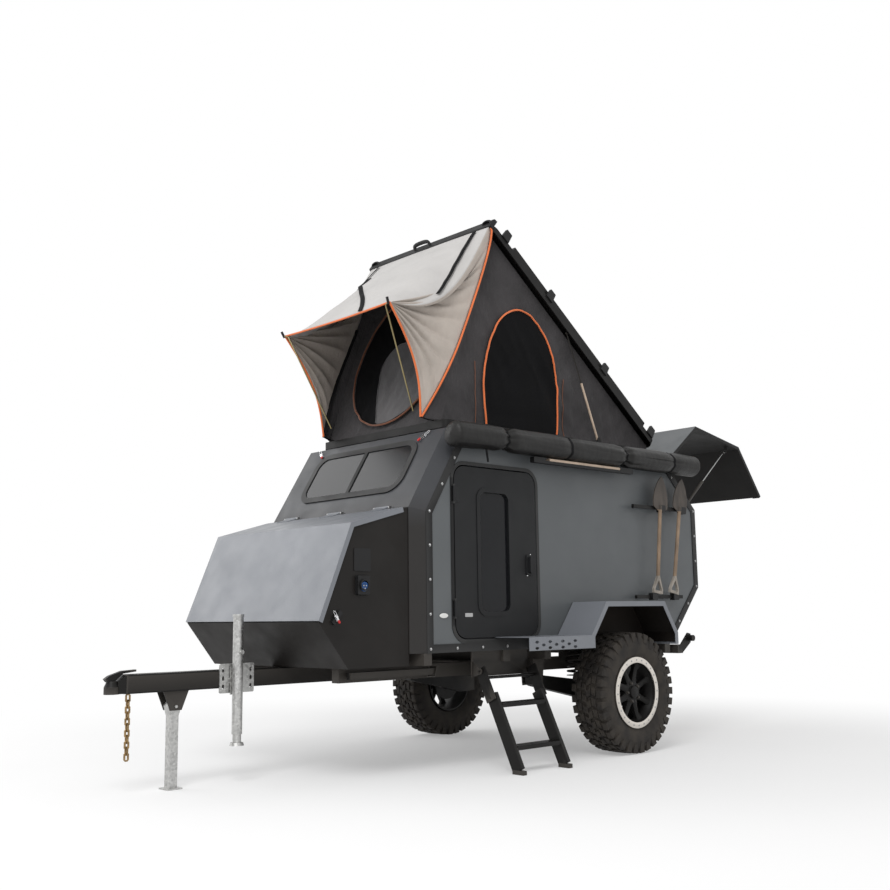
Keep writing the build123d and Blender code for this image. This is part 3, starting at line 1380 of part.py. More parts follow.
arm_x = 590.0
arm_half = 32.0
hub_z = up(tyre_radius)
with BuildPart() as suspension_arms:
    for side in (1, -1):
        with BuildSketch(Plane.YZ.offset(side * arm_x - arm_half)):
            with BuildLine():
                Polyline(
                    (arm_pivot[0] - 36, arm_pivot[1] + 22), (arm_pivot[0] + 60, arm_pivot[1] + 30),
                    (axle_y + 60, hub_z + 52), (axle_y + 60, hub_z - 46), (axle_y - 70, hub_z - 52),
                    (arm_pivot[0] - 10, arm_pivot[1] - 34), (arm_pivot[0] - 36, arm_pivot[1] - 22),
                    (arm_pivot[0] - 36, arm_pivot[1] + 22),
                )
            make_face()
        extrude(amount=2 * arm_half)
        with BuildSketch(Plane.YZ.offset(side * (rail_x + rail_width / 2 + 8))):
            with Locations(arm_pivot):
                Circle(24)
        extrude(amount=side * 96)
        # Stub axle and its flange
        with BuildSketch(Plane.YZ.offset(side * (arm_x + arm_half))):
            with Locations((axle_y, hub_z)):
                Circle(48)
        extrude(amount=side * 40)
        with BuildSketch(Plane.YZ.offset(side * (arm_x + arm_half + 40))):
            with Locations((axle_y, hub_z)):
                Circle(22)
        extrude(amount=side * (wheel_x - 40 - arm_x - arm_half - 40))
save(suspension_arms.part, "suspension_arms")

spring_place = fore(150)
spring_low = up(480)
spring_top = rail_top + tower_rise
with BuildPart() as dampers:
    for side in (1, -1):
        with BuildSketch(Plane.XY.offset(spring_low)):
            with Locations((side * arm_x, spring_place)):
                Circle(55)
        extrude(amount=spring_top - spring_low)
        with BuildSketch(Plane.XY.offset(hub_z + 60)):
            with Locations((side * arm_x, aft(40))):
                Circle(28)
        extrude(amount=spring_top - hub_z - 60)
save(dampers.part, "dampers")

# Wheels

rim_half = 105.0
stub_clear = 0.5
lug_count = 18               # shoulder lugs on each side of a tyre
lug_width = 66.0
spoke_count = 8
for side, word in ((1, "left"), (-1, "right")):
    wheel_plane = Plane(origin=(side * wheel_x, axle_y, hub_z), x_dir=(0, 1, 0), z_dir=(side, 0, 0))
    with BuildPart() as tyre:
        with BuildSketch(Plane.XY):
            half = tyre_width / 2
            Polygon(
                (rim_radius, -half + 18), (tyre_radius - 50, -half + 4), (tyre_radius, -half + 42),
                (tyre_radius, half - 42), (tyre_radius - 50, half - 4), (rim_radius, half - 18), align=None,
            )
        revolve(axis=Axis.Y)
        # Shoulder lugs, those of one side between those of the other
        for way in (1, -1):
            turns = [(number + (way + 1) / 4) * 360 / lug_count for number in range(lug_count)]
            with BuildSketch(*[Plane.XY.rotated((0, turn, 0)) for turn in turns]):
                Polygon(
                    (tyre_radius - 70, way * (half - 12)), (tyre_radius - 62, way * half),
                    (tyre_radius - 12, way * (half - 3)), (tyre_radius - 2, way * (half - 14)),
                    (tyre_radius - 2, way * (half - 46)), (tyre_radius - 24, way * (half - 52)), align=None,
                )
            extrude(amount=lug_width / 2, both=True)
    tyre_part = wheel_plane.from_local_coords(Rot(90, 0, 0) * tyre.part)
    save(tyre_part, "tyre_" + word)
    with BuildPart() as rim:
        with BuildSketch(Plane.XZ):
            with BuildLine():
                Polyline(
                    (rim_radius - 0.3, -rim_half), (rim_radius - 0.3, rim_half), (ring_radius, rim_half),
                    (ring_radius, rim_half + 10), (rim_radius - 22, rim_half + 10), (rim_radius - 14, -rim_half),
                    (rim_radius - 0.3, -rim_half),
                )
            make_face()
        revolve(axis=Axis.Z)
        with BuildSketch(Plane.XY.offset(20)):
            Circle(hub_radius)
        extrude(amount=60)
        with BuildSketch(Plane.XY.offset(20)):
            with PolarLocations(hub_radius - 6, spoke_count):
                Polygon((0, -25), (rim_radius - hub_radius - 8, -14), (rim_radius - hub_radius - 8, 14), (0, 25), align=None)
        extrude(amount=34)
        with BuildSketch(Plane.XY.offset(-70)):
            Circle(120)
        extrude(amount=90)
        with BuildSketch(Plane.XY.offset(-71)):
            Circle(22 + stub_clear)
        extrude(amount=36, mode=Mode.SUBTRACT)
    save(wheel_plane.from_local_coords(rim.part), "rim_" + word)

# Ladder on the left, leaning outwards to the ground

ladder_foot_x = 1030.0
ladder_lean = heading(ladder_pivot, (ladder_foot_x, ground))
ladder_length = distance(ladder_pivot, (ladder_foot_x, ground))
ladder_knee_height = 410.0
ladder_rail = 24.0
ladder_rail_deep = 76.0
ladder_arm = 8.0
ladder_arm_gap = 6.0
ladder_dir = (cos(radians(ladder_lean)), 0, sin(radians(ladder_lean)))
knee_along = (ladder_pivot[1] - up(ladder_knee_height)) / -ladder_dir[2]
ladder_knee = (ladder_pivot[0] + knee_along * ladder_dir[0], up(ladder_knee_height))
ladder_plane = Plane(origin=(ladder_pivot[0], 0, ladder_pivot[1]), x_dir=(0, 1, 0), z_dir=ladder_dir)
ladder_front_y, ladder_rear_y = fore(ladder_front_ahead), fore(ladder_rear_ahead)

with BuildPart() as ladder_arms:
    # Columns: inner face of the arm, way outwards along Y
    for y, way in ((ladder_front_y - ladder_arm_gap, -1), (ladder_rear_y + ladder_arm_gap, 1)):
        with BuildSketch(ladder_plane.offset(-17)):
            with Locations((y + way * ladder_arm / 2, 0)):
                Rectangle(ladder_arm, ladder_rail_deep)
        extrude(amount=knee_along + 34)
        with BuildSketch(Plane.XZ.offset(-y)):
            with Locations(ladder_knee):
                Circle(6.3)
        extrude(amount=-way * ladder_arm, mode=Mode.SUBTRACT)
        with BuildSketch(Plane.XZ.offset(-y)):
            with Locations(ladder_pivot):
                Circle(6)
        extrude(amount=-way * 28)
    # Spreader bar between the arms
    with BuildSketch(Plane.XZ.offset(-(ladder_front_y - ladder_arm_gap - 1))):
        with Locations((ladder_pivot[0] + 40 * ladder_dir[0], ladder_pivot[1] + 40 * ladder_dir[2])):
            Circle(9)
    extrude(amount=-(ladder_front_ahead - ladder_rear_ahead + 2 * ladder_arm_gap + 2))
save(ladder_arms.part, "ladder_arms")

with BuildPart() as ladder_steps:
    for y, way in ((ladder_front_y, 1), (ladder_rear_y, -1)):
        with BuildSketch(ladder_plane.offset(knee_along - 20)):
            with Locations((y + way * ladder_rail / 2, 0)):
                Rectangle(ladder_rail, ladder_rail_deep)
        extrude(amount=ladder_length - knee_along + 20 - 22)
        with BuildSketch(Plane.XZ.offset(-(y + way))):
            with Locations(ladder_knee):
                Circle(6)
        extrude(amount=way * (ladder_arm + ladder_arm_gap + 3))
    for height in (370, 140):
        along = (ladder_pivot[1] - up(height)) / -ladder_dir[2]
        centre = (ladder_pivot[0] + along * ladder_dir[0], ladder_pivot[1] + along * ladder_dir[2])
        with BuildSketch(Plane.XY.offset(centre[1] - 12)):
            with Locations((centre[0], (ladder_front_y + ladder_rear_y) / 2)):
                Rectangle(84, ladder_front_ahead - ladder_rear_ahead - 2 * ladder_rail + 2)
        extrude(amount=24)
    # Rubber feet
    for y, way in ((ladder_front_y, 1), (ladder_rear_y, -1)):
        with BuildSketch(Plane.XY.offset(ground)):
            with Locations((ladder_foot_x - 6, y + way * ladder_rail / 2)):
                Rectangle(84, ladder_rail + 4)
        extrude(amount=24)
save(ladder_steps.part, "ladder_steps")

# Rear bumper with corner buffers and lamps

bumper_y = aft(rail_rear_behind) + 30.3
bumper_z = up(nose_bottom_height + 20)
bumper_half = 746.0
buffer = (aft(floor_rear_behind + 175), up(floor_height + 26))
with BuildPart() as rear_bumper:
    with BuildSketch(Plane.YZ.offset(-bumper_half)):
        with Locations((bumper_y, bumper_z)):
            RectangleRounded(60, 60, 6)
    extrude(amount=2 * bumper_half)
    for side in (1, -1):
        with BuildSketch(Plane.YZ.offset(side * (bumper_half - 8))):
            Polygon(
                (bumper_y - 20, bumper_z - 25), (bumper_y + 30, bumper_z - 25), (buffer[0] + 22, buffer[1] - 30),
                (buffer[0] + 24, buffer[1] + 30), (buffer[0] - 13, buffer[1] + 37), (bumper_y, bumper_z + 25),
                align=None,
            )
        extrude(amount=side * 8)
        with BuildSketch(Plane.YZ.offset(side * bumper_half)):
            with Locations(buffer):
                Circle(21)
        extrude(amount=side * 40)
save(rear_bumper.part, "rear_bumper")
with BuildPart() as tail_lamps:
    for side in (1, -1):
        with BuildSketch(Plane.XZ.offset(-(bumper_y + 30))):
            with Locations((side * 560, bumper_z)):
                RectangleRounded(150, 46, 10)
        extrude(amount=-22)
save(tail_lamps.part, "tail_lamps")
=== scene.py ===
import json
from math import atan2, cos, exp, hypot, pi, radians, sin, sqrt

import bpy
from mathutils import Matrix, Vector, noise


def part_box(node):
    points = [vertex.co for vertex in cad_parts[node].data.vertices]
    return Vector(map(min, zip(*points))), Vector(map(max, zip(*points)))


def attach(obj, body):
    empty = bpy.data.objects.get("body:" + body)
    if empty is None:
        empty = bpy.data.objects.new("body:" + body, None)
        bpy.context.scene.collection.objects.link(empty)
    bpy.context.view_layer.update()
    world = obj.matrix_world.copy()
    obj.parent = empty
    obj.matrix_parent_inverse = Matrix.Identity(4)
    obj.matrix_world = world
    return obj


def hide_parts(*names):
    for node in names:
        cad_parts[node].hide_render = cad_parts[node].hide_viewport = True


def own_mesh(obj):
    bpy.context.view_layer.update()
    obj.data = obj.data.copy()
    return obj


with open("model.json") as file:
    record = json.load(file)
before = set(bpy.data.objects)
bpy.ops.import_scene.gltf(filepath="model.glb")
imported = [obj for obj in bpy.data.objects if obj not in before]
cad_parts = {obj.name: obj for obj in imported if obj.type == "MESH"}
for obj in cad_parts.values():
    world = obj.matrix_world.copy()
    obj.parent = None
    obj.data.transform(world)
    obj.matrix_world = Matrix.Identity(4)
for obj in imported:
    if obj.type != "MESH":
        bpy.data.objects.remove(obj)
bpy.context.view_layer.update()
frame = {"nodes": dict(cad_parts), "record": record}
nodes = frame["nodes"]

# The axle's y and the ground's z in the part's frame, in metres
AXLE, GROUND = 3.1, -0.53
SIDES = ((1, "left"), (-1, "right"))


def fore(d):
    return AXLE - d


def aft(d):
    return AXLE + d


def up(z):
    return GROUND + z


def wander(x, y, z):
    """Smooth noise at a place, -1 to 1."""
    return noise.noise(Vector((x, y, z)))


def arch(t):
    """0 at both ends of 0 to 1, and 1 in the middle."""
    return sin(pi * t) if 0 < t < 1 else 0.0


def turns(n):
    """n angles evenly round a circle."""
    return [2 * pi * k / n for k in range(n)]


# Materials


def new_material(name):
    m = bpy.data.materials.new(name)
    m.use_nodes = True
    return m, m.node_tree.nodes, m.node_tree.links, m.node_tree.nodes["Principled BSDF"]


def put(node, key, value):
    node.inputs[key].default_value = value


def noise_node(n, l, scale, detail=3.0, stretch=None):
    place = n.new("ShaderNodeTexCoord").outputs["Object"]
    t = n.new("ShaderNodeTexNoise")
    put(t, "Scale", scale)
    put(t, "Detail", detail)
    if stretch:
        mp = n.new("ShaderNodeMapping")
        put(mp, "Scale", stretch)
        l.new(place, mp.inputs["Vector"])
        place = mp.outputs["Vector"]
    l.new(place, t.inputs["Vector"])
    return t.outputs["Fac"]


def ramp(n, l, source, stops):
    """A colour ramp over a value; stops are (position, colour)."""
    r = n.new("ShaderNodeValToRGB")
    while len(r.color_ramp.elements) < len(stops):
        r.color_ramp.elements.new(0.5)
    for e, (p, c) in zip(r.color_ramp.elements, stops):
        e.position = p
        e.color = (*c, 1)
    l.new(source, r.inputs["Fac"])
    return r


def shade(c, k):
    return tuple(min(1.0, v * k) for v in c)


def tones(n, l, source, colour, dark, light):
    """A colour that goes from a darker to a lighter tone of itself."""
    return ramp(n, l, source, [(0.3, shade(colour, dark)), (0.7, shade(colour, light))]).outputs["Color"]


def multiply(n, l, a, b):
    mix = n.new("ShaderNodeMix")
    mix.data_type = "RGBA"
    mix.blend_type = "MULTIPLY"
    put(mix, "Factor", 1.0)
    l.new(a, mix.inputs["A"])
    l.new(b, mix.inputs["B"])
    return mix.outputs["Result"]


def height(n, l):
    """The surface's z."""
    split = n.new("ShaderNodeSeparateXYZ")
    l.new(n.new("ShaderNodeTexCoord").outputs["Object"], split.inputs["Vector"])
    return split.outputs["Z"]


def bump(n, l, b, source, strength, distance, under=None):
    """A bump on the shader, on top of another one if that is given."""
    k = n.new("ShaderNodeBump")
    put(k, "Strength", strength)
    put(k, "Distance", distance)
    l.new(source, k.inputs["Height"])
    if under:
        l.new(under.outputs["Normal"], k.inputs["Normal"])
    l.new(k.outputs["Normal"], b.inputs["Normal"])
    return k


def gloss(b, rough, specular=0.5):
    put(b, "Roughness", rough)
    put(b, "Specular IOR Level", specular)


def coat(name, colour, rough=0.42, specular=0.5, vary=0.12, grain=900.0, grain_strength=0.12, wear=None):
    """Powder-coated sheet: fine texture, slow colour drift and lighter worn edges."""
    m, n, l, b = new_material(name)
    out = tones(n, l, noise_node(n, l, 2.3, 5.0), colour, 1 - vary, 1 + vary)
    if wear:
        g = n.new("ShaderNodeNewGeometry")
        edge = ramp(n, l, g.outputs["Pointiness"], [(0.53, (0, 0, 0)), (0.6, (1, 1, 1))])
        mix = n.new("ShaderNodeMix")
        mix.data_type = "RGBA"
        l.new(edge.outputs["Color"], mix.inputs["Factor"])
        l.new(out, mix.inputs["A"])
        put(mix, "B", (*wear, 1))
        out = mix.outputs["Result"]
    l.new(out, b.inputs["Base Color"])
    smear = noise_node(n, l, 7.0, 4.0)
    r = ramp(n, l, smear, [(0.3, (rough - 0.07,) * 3), (0.75, (rough + 0.09,) * 3)])
    l.new(r.outputs["Color"], b.inputs["Roughness"])
    put(b, "Specular IOR Level", specular)
    bump(n, l, b, noise_node(n, l, grain, 2.0), grain_strength, 0.0006)
    return m


def cloth(name, colour, vary=0.15, thread=900.0, rough=0.85, fold=0.35, sheen=0.2, specular=0.3):
    """Woven cloth: two crossed thread waves over soft creases."""
    m, n, l, b = new_material(name)
    l.new(tones(n, l, noise_node(n, l, 5.0, 6.0), colour, 1 - vary, 1 + vary), b.inputs["Base Color"])
    place = n.new("ShaderNodeTexCoord").outputs["Object"]
    weave = n.new("ShaderNodeMath")
    weave.operation = "MULTIPLY"
    for k, axis in enumerate(("Z", "DIAGONAL")):
        w = n.new("ShaderNodeTexWave")
        w.bands_direction = axis
        put(w, "Scale", thread)
        l.new(place, w.inputs["Vector"])
        l.new(w.outputs["Fac"], weave.inputs[k])
    creases = bump(n, l, b, noise_node(n, l, 16.0, 5.0, stretch=(1, 1.6, 0.8)), fold, 0.012)
    bump(n, l, b, weave.outputs["Value"], 0.25, 0.0006, creases)
    gloss(b, rough, specular)
    put(b, "Sheen Weight", sheen)
    put(b, "Sheen Roughness", 0.5)
    return m


def metal(name, colour, rough=0.3, spangle=0.0, scale=60.0):
    """Brushed metal, or zinc with spangles of a given scale."""
    m, n, l, b = new_material(name)
    if spangle:
        v = n.new("ShaderNodeTexVoronoi")
        put(v, "Scale", scale)
        l.new(n.new("ShaderNodeTexCoord").outputs["Object"], v.inputs["Vector"])
        cells = v.outputs["Color"]
        stops = [(0.1, shade(colour, 1 - spangle)), (0.9, shade(colour, 1 + spangle))]
        c = ramp(n, l, cells, stops).outputs["Color"]
        r = ramp(n, l, cells, [(0.0, (rough - 0.1,) * 3), (1.0, (rough + 0.15,) * 3)])
        l.new(r.outputs["Color"], b.inputs["Roughness"])
    else:
        brushed = noise_node(n, l, 240.0, 3.0, stretch=(1, 1, 14))
        c = tones(n, l, brushed, colour, 0.85, 1.1)
        put(b, "Roughness", rough)
        bump(n, l, b, brushed, 0.08, 0.0004)
    l.new(c, b.inputs["Base Color"])
    put(b, "Metallic", 1.0)
    return m


def rubber(name, colour, dust, rough=0.85):
    m, n, l, b = new_material(name)
    c = ramp(n, l, noise_node(n, l, 14.0, 8.0), [(0.35, colour), (0.62, dust)])
    l.new(c.outputs["Color"], b.inputs["Base Color"])
    put(b, "Roughness", rough)
    bump(n, l, b, noise_node(n, l, 130.0, 5.0), 0.3, 0.0015)
    return m


def plastic(name, colour, rough=0.5, grain=500.0):
    m, n, l, b = new_material(name)
    l.new(tones(n, l, noise_node(n, l, 9.0, 3.0), colour, 0.88, 1.12), b.inputs["Base Color"])
    gloss(b, rough, 0.3)
    bump(n, l, b, noise_node(n, l, grain, 2.0), 0.15, 0.0005)
    return m


def pane(name, colour):
    m, n, l, b = new_material(name)
    l.new(tones(n, l, noise_node(n, l, 3.0, 2.0), colour, 1.0, 1.25), b.inputs["Base Color"])
    gloss(b, 0.16, 0.2)
    put(b, "Alpha", 0.95)
    return m


def ply(name):
    m, n, l, b = new_material(name)
    grain = noise_node(n, l, 6.0, 6.0, stretch=(0.6, 9, 9))
    c = ramp(n, l, grain, [(0.3, (0.3, 0.19, 0.1)), (0.55, (0.45, 0.3, 0.17)), (0.8, (0.52, 0.37, 0.22))])
    l.new(c.outputs["Color"], b.inputs["Base Color"])
    put(b, "Roughness", 0.45)
    bump(n, l, b, grain, 0.15, 0.0006)
    return m


def shovel_finish(name, bands):
    """Dark blades, ash shafts and pale grips, told apart by height; bands are (lowest height, colour)."""
    m, n, l, b = new_material(name)
    scaled = n.new("ShaderNodeMath")
    scaled.operation = "MULTIPLY"
    put(scaled, 1, 0.5)
    l.new(height(n, l), scaled.inputs[0])
    c = ramp(n, l, scaled.outputs["Value"], [(z / 2, colour) for z, colour in bands])
    c.color_ramp.interpolation = "CONSTANT"
    stain = noise_node(n, l, 26.0, 6.0, stretch=(1, 1, 0.35))
    worn = ramp(n, l, stain, [(0.3, (0.55, 0.52, 0.5)), (0.7, (1.15, 1.1, 1.05))])
    l.new(multiply(n, l, c.outputs["Color"], worn.outputs["Color"]), b.inputs["Base Color"])
    gloss(b, 0.5, 0.35)
    bump(n, l, b, stain, 0.12, 0.0008)
    return m


def paint_shade_below(m, low, high, shade_tint):
    """Tints a coat darker below a height, with painted shade on its lower part."""
    n, l = m.node_tree.nodes, m.node_tree.links
    b = n["Principled BSDF"]
    colour = b.inputs["Base Color"].links[0].from_socket
    level = n.new("ShaderNodeMapRange")
    put(level, "From Min", low)
    put(level, "From Max", high)
    l.new(height(n, l), level.inputs["Value"])
    tone = ramp(n, l, level.outputs["Result"], [(0.0, shade_tint), (1.0, (1, 1, 1))])
    l.new(multiply(n, l, colour, tone.outputs["Color"]), b.inputs["Base Color"])


GREY = coat("grey_panel", (0.096, 0.104, 0.109), 0.42, 0.4, vary=0.06)
LID = coat("grey_lid", (0.17, 0.18, 0.2), 0.4, vary=0.06)
SLOPE = coat("slope_black", (0.04, 0.042, 0.047), 0.42, 0.35, vary=0.1)
# Painted shade: the slope panel turns darker and browner from up(1.6) down to up(1.38) and below
paint_shade_below(SLOPE, up(1.38), up(1.6), (0.42, 0.36, 0.3))
BLACK = coat("satin_black", (0.008, 0.0075, 0.0072), 0.5, 0.22, vary=0.15)
TRIM = coat("trim_black", (0.008, 0.008, 0.0085), 0.5, 0.22, vary=0.12, wear=(0.035, 0.035, 0.035))
DOOR = coat("door_black", (0.0095, 0.01, 0.011), 0.46, 0.24, vary=0.1)
CHASSIS = coat("chassis_black", (0.007, 0.0065, 0.006), 0.48, 0.22, 0.3, 300, 0.25, wear=(0.05, 0.045, 0.04))
NOSE = coat("nose_brown_black", (0.011, 0.0095, 0.0085), 0.52, 0.22, 0.25, 260, 0.3)
# Painted shade for the wheel arches: dark brown with a strong drift
ARCH_SHADE = coat("wheel_well", (0.014, 0.011, 0.009), 0.7, 0.15, vary=0.4)
GALV = metal("galvanised", (0.5, 0.5, 0.49), 0.45, spangle=0.22, scale=90.0)
CHROME = metal("chrome", (0.75, 0.75, 0.76), 0.12)
STEEL = metal("steel", (0.42, 0.42, 0.42), 0.34)
RING = metal("ring_aluminium", (0.66, 0.62, 0.57), 0.3)
BRASS = metal("pole_brass", (0.3, 0.25, 0.13), 0.4)
CHAIN = metal("chain_gilt", (0.32, 0.22, 0.11), 0.5, spangle=0.4, scale=120.0)
RUBBER = rubber("tyre_rubber", (0.013, 0.0105, 0.009), (0.032, 0.026, 0.02))
CANVAS = cloth("tent_canvas", (0.04, 0.037, 0.0385), 0.25, fold=1.0, sheen=0.08)
MESHCLOTH = cloth("window_mesh", (0.0035, 0.0035, 0.004), 0.2, 500.0, 0.9, fold=0.2, sheen=0.0, specular=0.15)
FLAP = cloth("window_flap", (0.085, 0.082, 0.084), 0.12, fold=0.6)
FLY = cloth("fly_cloth", (0.48, 0.467, 0.455), 0.07, rough=0.62, fold=0.4, sheen=0.1)
# The wings' cloth: the fly's cloth made darker and browner, as painted shade for the wings that face sideways
FLY_SHADED = cloth("fly_side_cloth", (0.4, 0.355, 0.315), 0.1, rough=0.62, fold=0.6, sheen=0.1)
PIPING = cloth("orange_piping", (0.72, 0.17, 0.05), 0.1, thread=1500.0, fold=0.1)
WEBBING = cloth("black_webbing", (0.006, 0.006, 0.0065), 0.2, 1200.0, fold=0.1, sheen=0.0, specular=0.15)
BAG = cloth("awning_cloth", (0.0085, 0.008, 0.0075), 0.25, 2400.0, 0.45, fold=0.25, sheen=0.0)
FOAM = cloth("mattress_cover", (0.2, 0.2, 0.21), 0.08)
PLASTIC = plastic("black_plastic", (0.008, 0.008, 0.0085), 0.5)
GLASS = pane("smoked_pane", (0.008, 0.0085, 0.01))
LENS = plastic("red_lens", (0.4, 0.015, 0.012), 0.18, 60.0)
WHITE = plastic("white_lens", (0.75, 0.75, 0.73), 0.25, 60.0)
BLUE = plastic("inlet_blue", (0.015, 0.07, 0.22), 0.35)
SEAM = cloth("brown_seam", (0.16, 0.06, 0.03), 0.2, thread=1500.0, fold=0.1)
RED = plastic("red_grip", (0.45, 0.02, 0.02), 0.4)
WARM = plastic("warm_lens", (0.55, 0.43, 0.33), 0.3, 60.0)
WOOD = ply("birch_ply")
SHOVEL = shovel_finish("shovel_parts", [
    (0.0, (0.33, 0.31, 0.28)), (up(1.13), (0.27, 0.2, 0.14)), (up(1.585), (0.065, 0.055, 0.047)),
])

# The look of each material slot, and of single nodes that differ from their slot's
LOOK = {
    "chassis": CHASSIS, "galvanised": GALV, "body_grey": GREY, "body_black": BLACK, "lid_grey": LID,
    "window_glass": GLASS, "tyre": RUBBER, "rim": BLACK, "canvas": CANVAS, "fly": FLY, "bag": BAG,
    "wood": WOOD,
    "foam": FOAM, "plastic": PLASTIC, "lamp": LENS, "zinc": STEEL, "light": WARM, "shovel": SHOVEL,
}
slots = {s["node"]: s["material_slot"] for s in frame["record"]["subparts"]}
OWN = {
    "front_panel": SLOPE, "side_trim": TRIM, "door_left": DOOR, "door_right": DOOR,
    "front_window_frame": TRIM,
    "nose_box": NOSE, "roof_panel": TRIM, "safety_chain": CHAIN,
    **{"corner_steady_%s_%s" % (a, b): CHASSIS for a in ("front", "rear") for b in ("left", "right")},
}


def bevel(o, width, segments=2):
    b = o.modifiers.new("soft_edges", "BEVEL")
    b.width = width
    b.segments = segments
    b.limit_method = "ANGLE"
    b.angle_limit = radians(35)
    b.harden_normals = False


for name, o in nodes.items():
    o.data.materials.clear()
    o.data.materials.append(OWN.get(name, LOOK[slots[name]]))

# Softened edges of the CAD nodes, by width in millimetres
EDGE = {
    0.8: "fender_left fender_right",
    1.0: "side_wall_left side_wall_right jack_ram galley_cabinet chassis_brackets",
    1.2: "side_trim nose_box nose_lid shovels",
    1.5: "hatch_frame ladder_arms drop_leg jack_bracket jack_tube",
    2.0: "front_panel door_left door_right drawbar chassis_frame ladder_steps coupling nose_fittings"
         " shovel_rack front_window_frame cross_members awning_rail",
    2.5: "tent_lid",
    3.0: "rear_bumper suspension_arms tail_lamps light_bar",
    4.0: "tent_base",
}
for width, names in EDGE.items():
    for name in names.split():
        bevel(nodes[name], width / 1000)


# Mesh helpers


def add(name, verts, faces, material, body="trailer", smooth=True, angle=None):
    """A piece that rides on a body, shaded smooth up to an angle in degrees."""
    me = bpy.data.meshes.new(name)
    me.from_pydata([tuple(v) for v in verts], [], faces)
    me.validate()
    me.update()
    me.materials.append(material)
    o = bpy.data.objects.new(name, me)
    bpy.context.scene.collection.objects.link(o)
    if smooth:
        for p in me.polygons:
            p.use_smooth = True
        if angle:
            me.set_sharp_from_angle(angle=radians(angle))
    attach(o, body)
    return o


def frames(points, closed=False):
    """Tangents and turning-free normals along a line."""
    pts = [Vector(p) for p in points]
    n = len(pts)
    tangents = []
    for i in range(n):
        a = pts[i - 1] if (i > 0 or closed) else pts[i]
        b = pts[(i + 1) % n] if (i < n - 1 or closed) else pts[i]
        tangents.append((b - a).normalized())
    ref = Vector((0, 0, 1)) if abs(tangents[0].z) < 0.9 else Vector((1, 0, 0))
    u = (ref - tangents[0] * ref.dot(tangents[0])).normalized()
    out = []
    for t in tangents:
        u = (u - t * u.dot(t)).normalized()
        out.append((t, u, t.cross(u)))
    return pts, out


def tube_data(points, radius, sides=8, closed=False, flat=None):
    """Ring vertices and faces of a tube; flat gives a second half-width for a strap."""
    pts, turned = frames(points, closed)
    verts, faces = [], []
    n = len(pts)
    wide = radius if flat is None else flat
    for p, (_, u, w) in zip(pts, turned):
        verts += [p + u * (cos(a) * radius) + w * (sin(a) * wide) for a in turns(sides)]
    for i in range(n if closed else n - 1):
        a, b = i * sides, ((i + 1) % n) * sides
        faces += [(a + k, a + (k + 1) % sides, b + (k + 1) % sides, b + k) for k in range(sides)]
    if not closed:
        faces.append(tuple(reversed(range(sides))))
        faces.append(tuple((n - 1) * sides + k for k in range(sides)))
    return verts, faces


def join_data(parts):
    verts, faces = [], []
    for v, f in parts:
        base = len(verts)
        verts += v
        faces += [tuple(i + base for i in q) for q in f]
    return verts, faces


def tube(name, points, radius, material, body="trailer", sides=8, closed=False, flat=None):
    v, f = tube_data(points, radius, sides, closed, flat)
    return add(name, v, f, material, body, angle=50)


def prism_data(outline, place, depth):
    """A flat outline, as (a, b) pairs put in place by a function, pushed by a depth vector."""
    n = len(outline)
    low = [Vector(place(a, b)) for a, b in outline]
    d = Vector(depth)
    verts = low + [p + d for p in low]
    faces = [tuple(reversed(range(n))), tuple(range(n, 2 * n))]
    faces += [(i, (i + 1) % n, n + (i + 1) % n, n + i) for i in range(n)]
    return verts, faces


def rounded(w, h, r, cx=0.0, cy=0.0, steps=6):
    """A rectangle's outline with rounded corners."""
    pts = []
    for sx, sy, start in ((1, 1, 0), (-1, 1, 90), (-1, -1, 180), (1, -1, 270)):
        for k in range(steps + 1):
            a = radians(start + 90 * k / steps)
            pts.append((cx + sx * (w / 2 - r) + r * cos(a), cy + sy * (h / 2 - r) + r * sin(a)))
    return pts


def across(axis):
    """Two directions square to an axis."""
    ref = Vector((0, 0, 1)) if abs(axis.z) < 0.9 else Vector((1, 0, 0))
    u = axis.cross(ref).normalized()
    return u, axis.cross(u)


def wheel_of(points, centre, axis, segments=48):
    """Rings (along, radius) turned about an axis through centre."""
    axis = Vector(axis).normalized()
    a, b = across(axis)
    verts, faces = [], []
    for t in turns(segments):
        verts += [Vector(centre) + axis * d + (a * cos(t) + b * sin(t)) * r for d, r in points]
    q = len(points)
    for k in range(segments):
        s, t = k * q, ((k + 1) % segments) * q
        faces += [(s + i, t + i, t + i + 1, s + i + 1) for i in range(q - 1)]
    return verts, faces


def screw_data(p, axis, radius, tall, sides=6):
    """A bolt head with a washer, standing on p along axis."""
    axis = Vector(axis).normalized()
    u, w = across(axis)
    p = Vector(p)
    verts, faces = [], []

    def ring(r, h, n):
        verts.extend(p + axis * h + u * (r * cos(a)) + w * (r * sin(a)) for a in turns(n))
        return len(verts) - n

    def join(s, t, n, cap=False):
        faces.extend((s + k, s + (k + 1) % n, t + (k + 1) % n, t + k) for k in range(n))
        if cap:
            faces.append(tuple(t + k for k in range(n)))

    washer, top = radius * 1.35, tall * 0.22
    join(ring(washer, 0.0, 16), ring(washer, top, 16), 16, cap=True)
    foot, side = ring(radius, top, sides), ring(radius, tall * 0.8, sides)
    crown = ring(radius * 0.8, tall, sides)
    join(foot, side, sides)
    join(side, crown, sides, cap=True)
    return verts, faces


def screws(name, places, radius, tall, material, body="trailer"):
    """Bolt heads at (place, direction) pairs."""
    v, f = join_data([screw_data(p, a, radius, tall) for p, a in places])
    return add(name, v, f, material, body, smooth=False)


def surface(name, fn, nu, nv, material, thickness=0.0):
    """A sheet from a function of u and v, each 0 to 1."""
    verts = [Vector(fn(i / nu, j / nv)) for j in range(nv + 1) for i in range(nu + 1)]
    row = nu + 1
    faces = [(a, a + 1, a + row + 1, a + row) for j in range(nv) for a in range(j * row, j * row + nu)]
    o = add(name, verts, faces, material)
    if thickness:
        s = o.modifiers.new("thick", "SOLIDIFY")
        s.thickness = thickness
        s.offset = 0
    return o


def lerp(a, b, t):
    return Vector(a).lerp(Vector(b), t)


def sided(p, side):
    return Vector((side * p[0], p[1], p[2]))


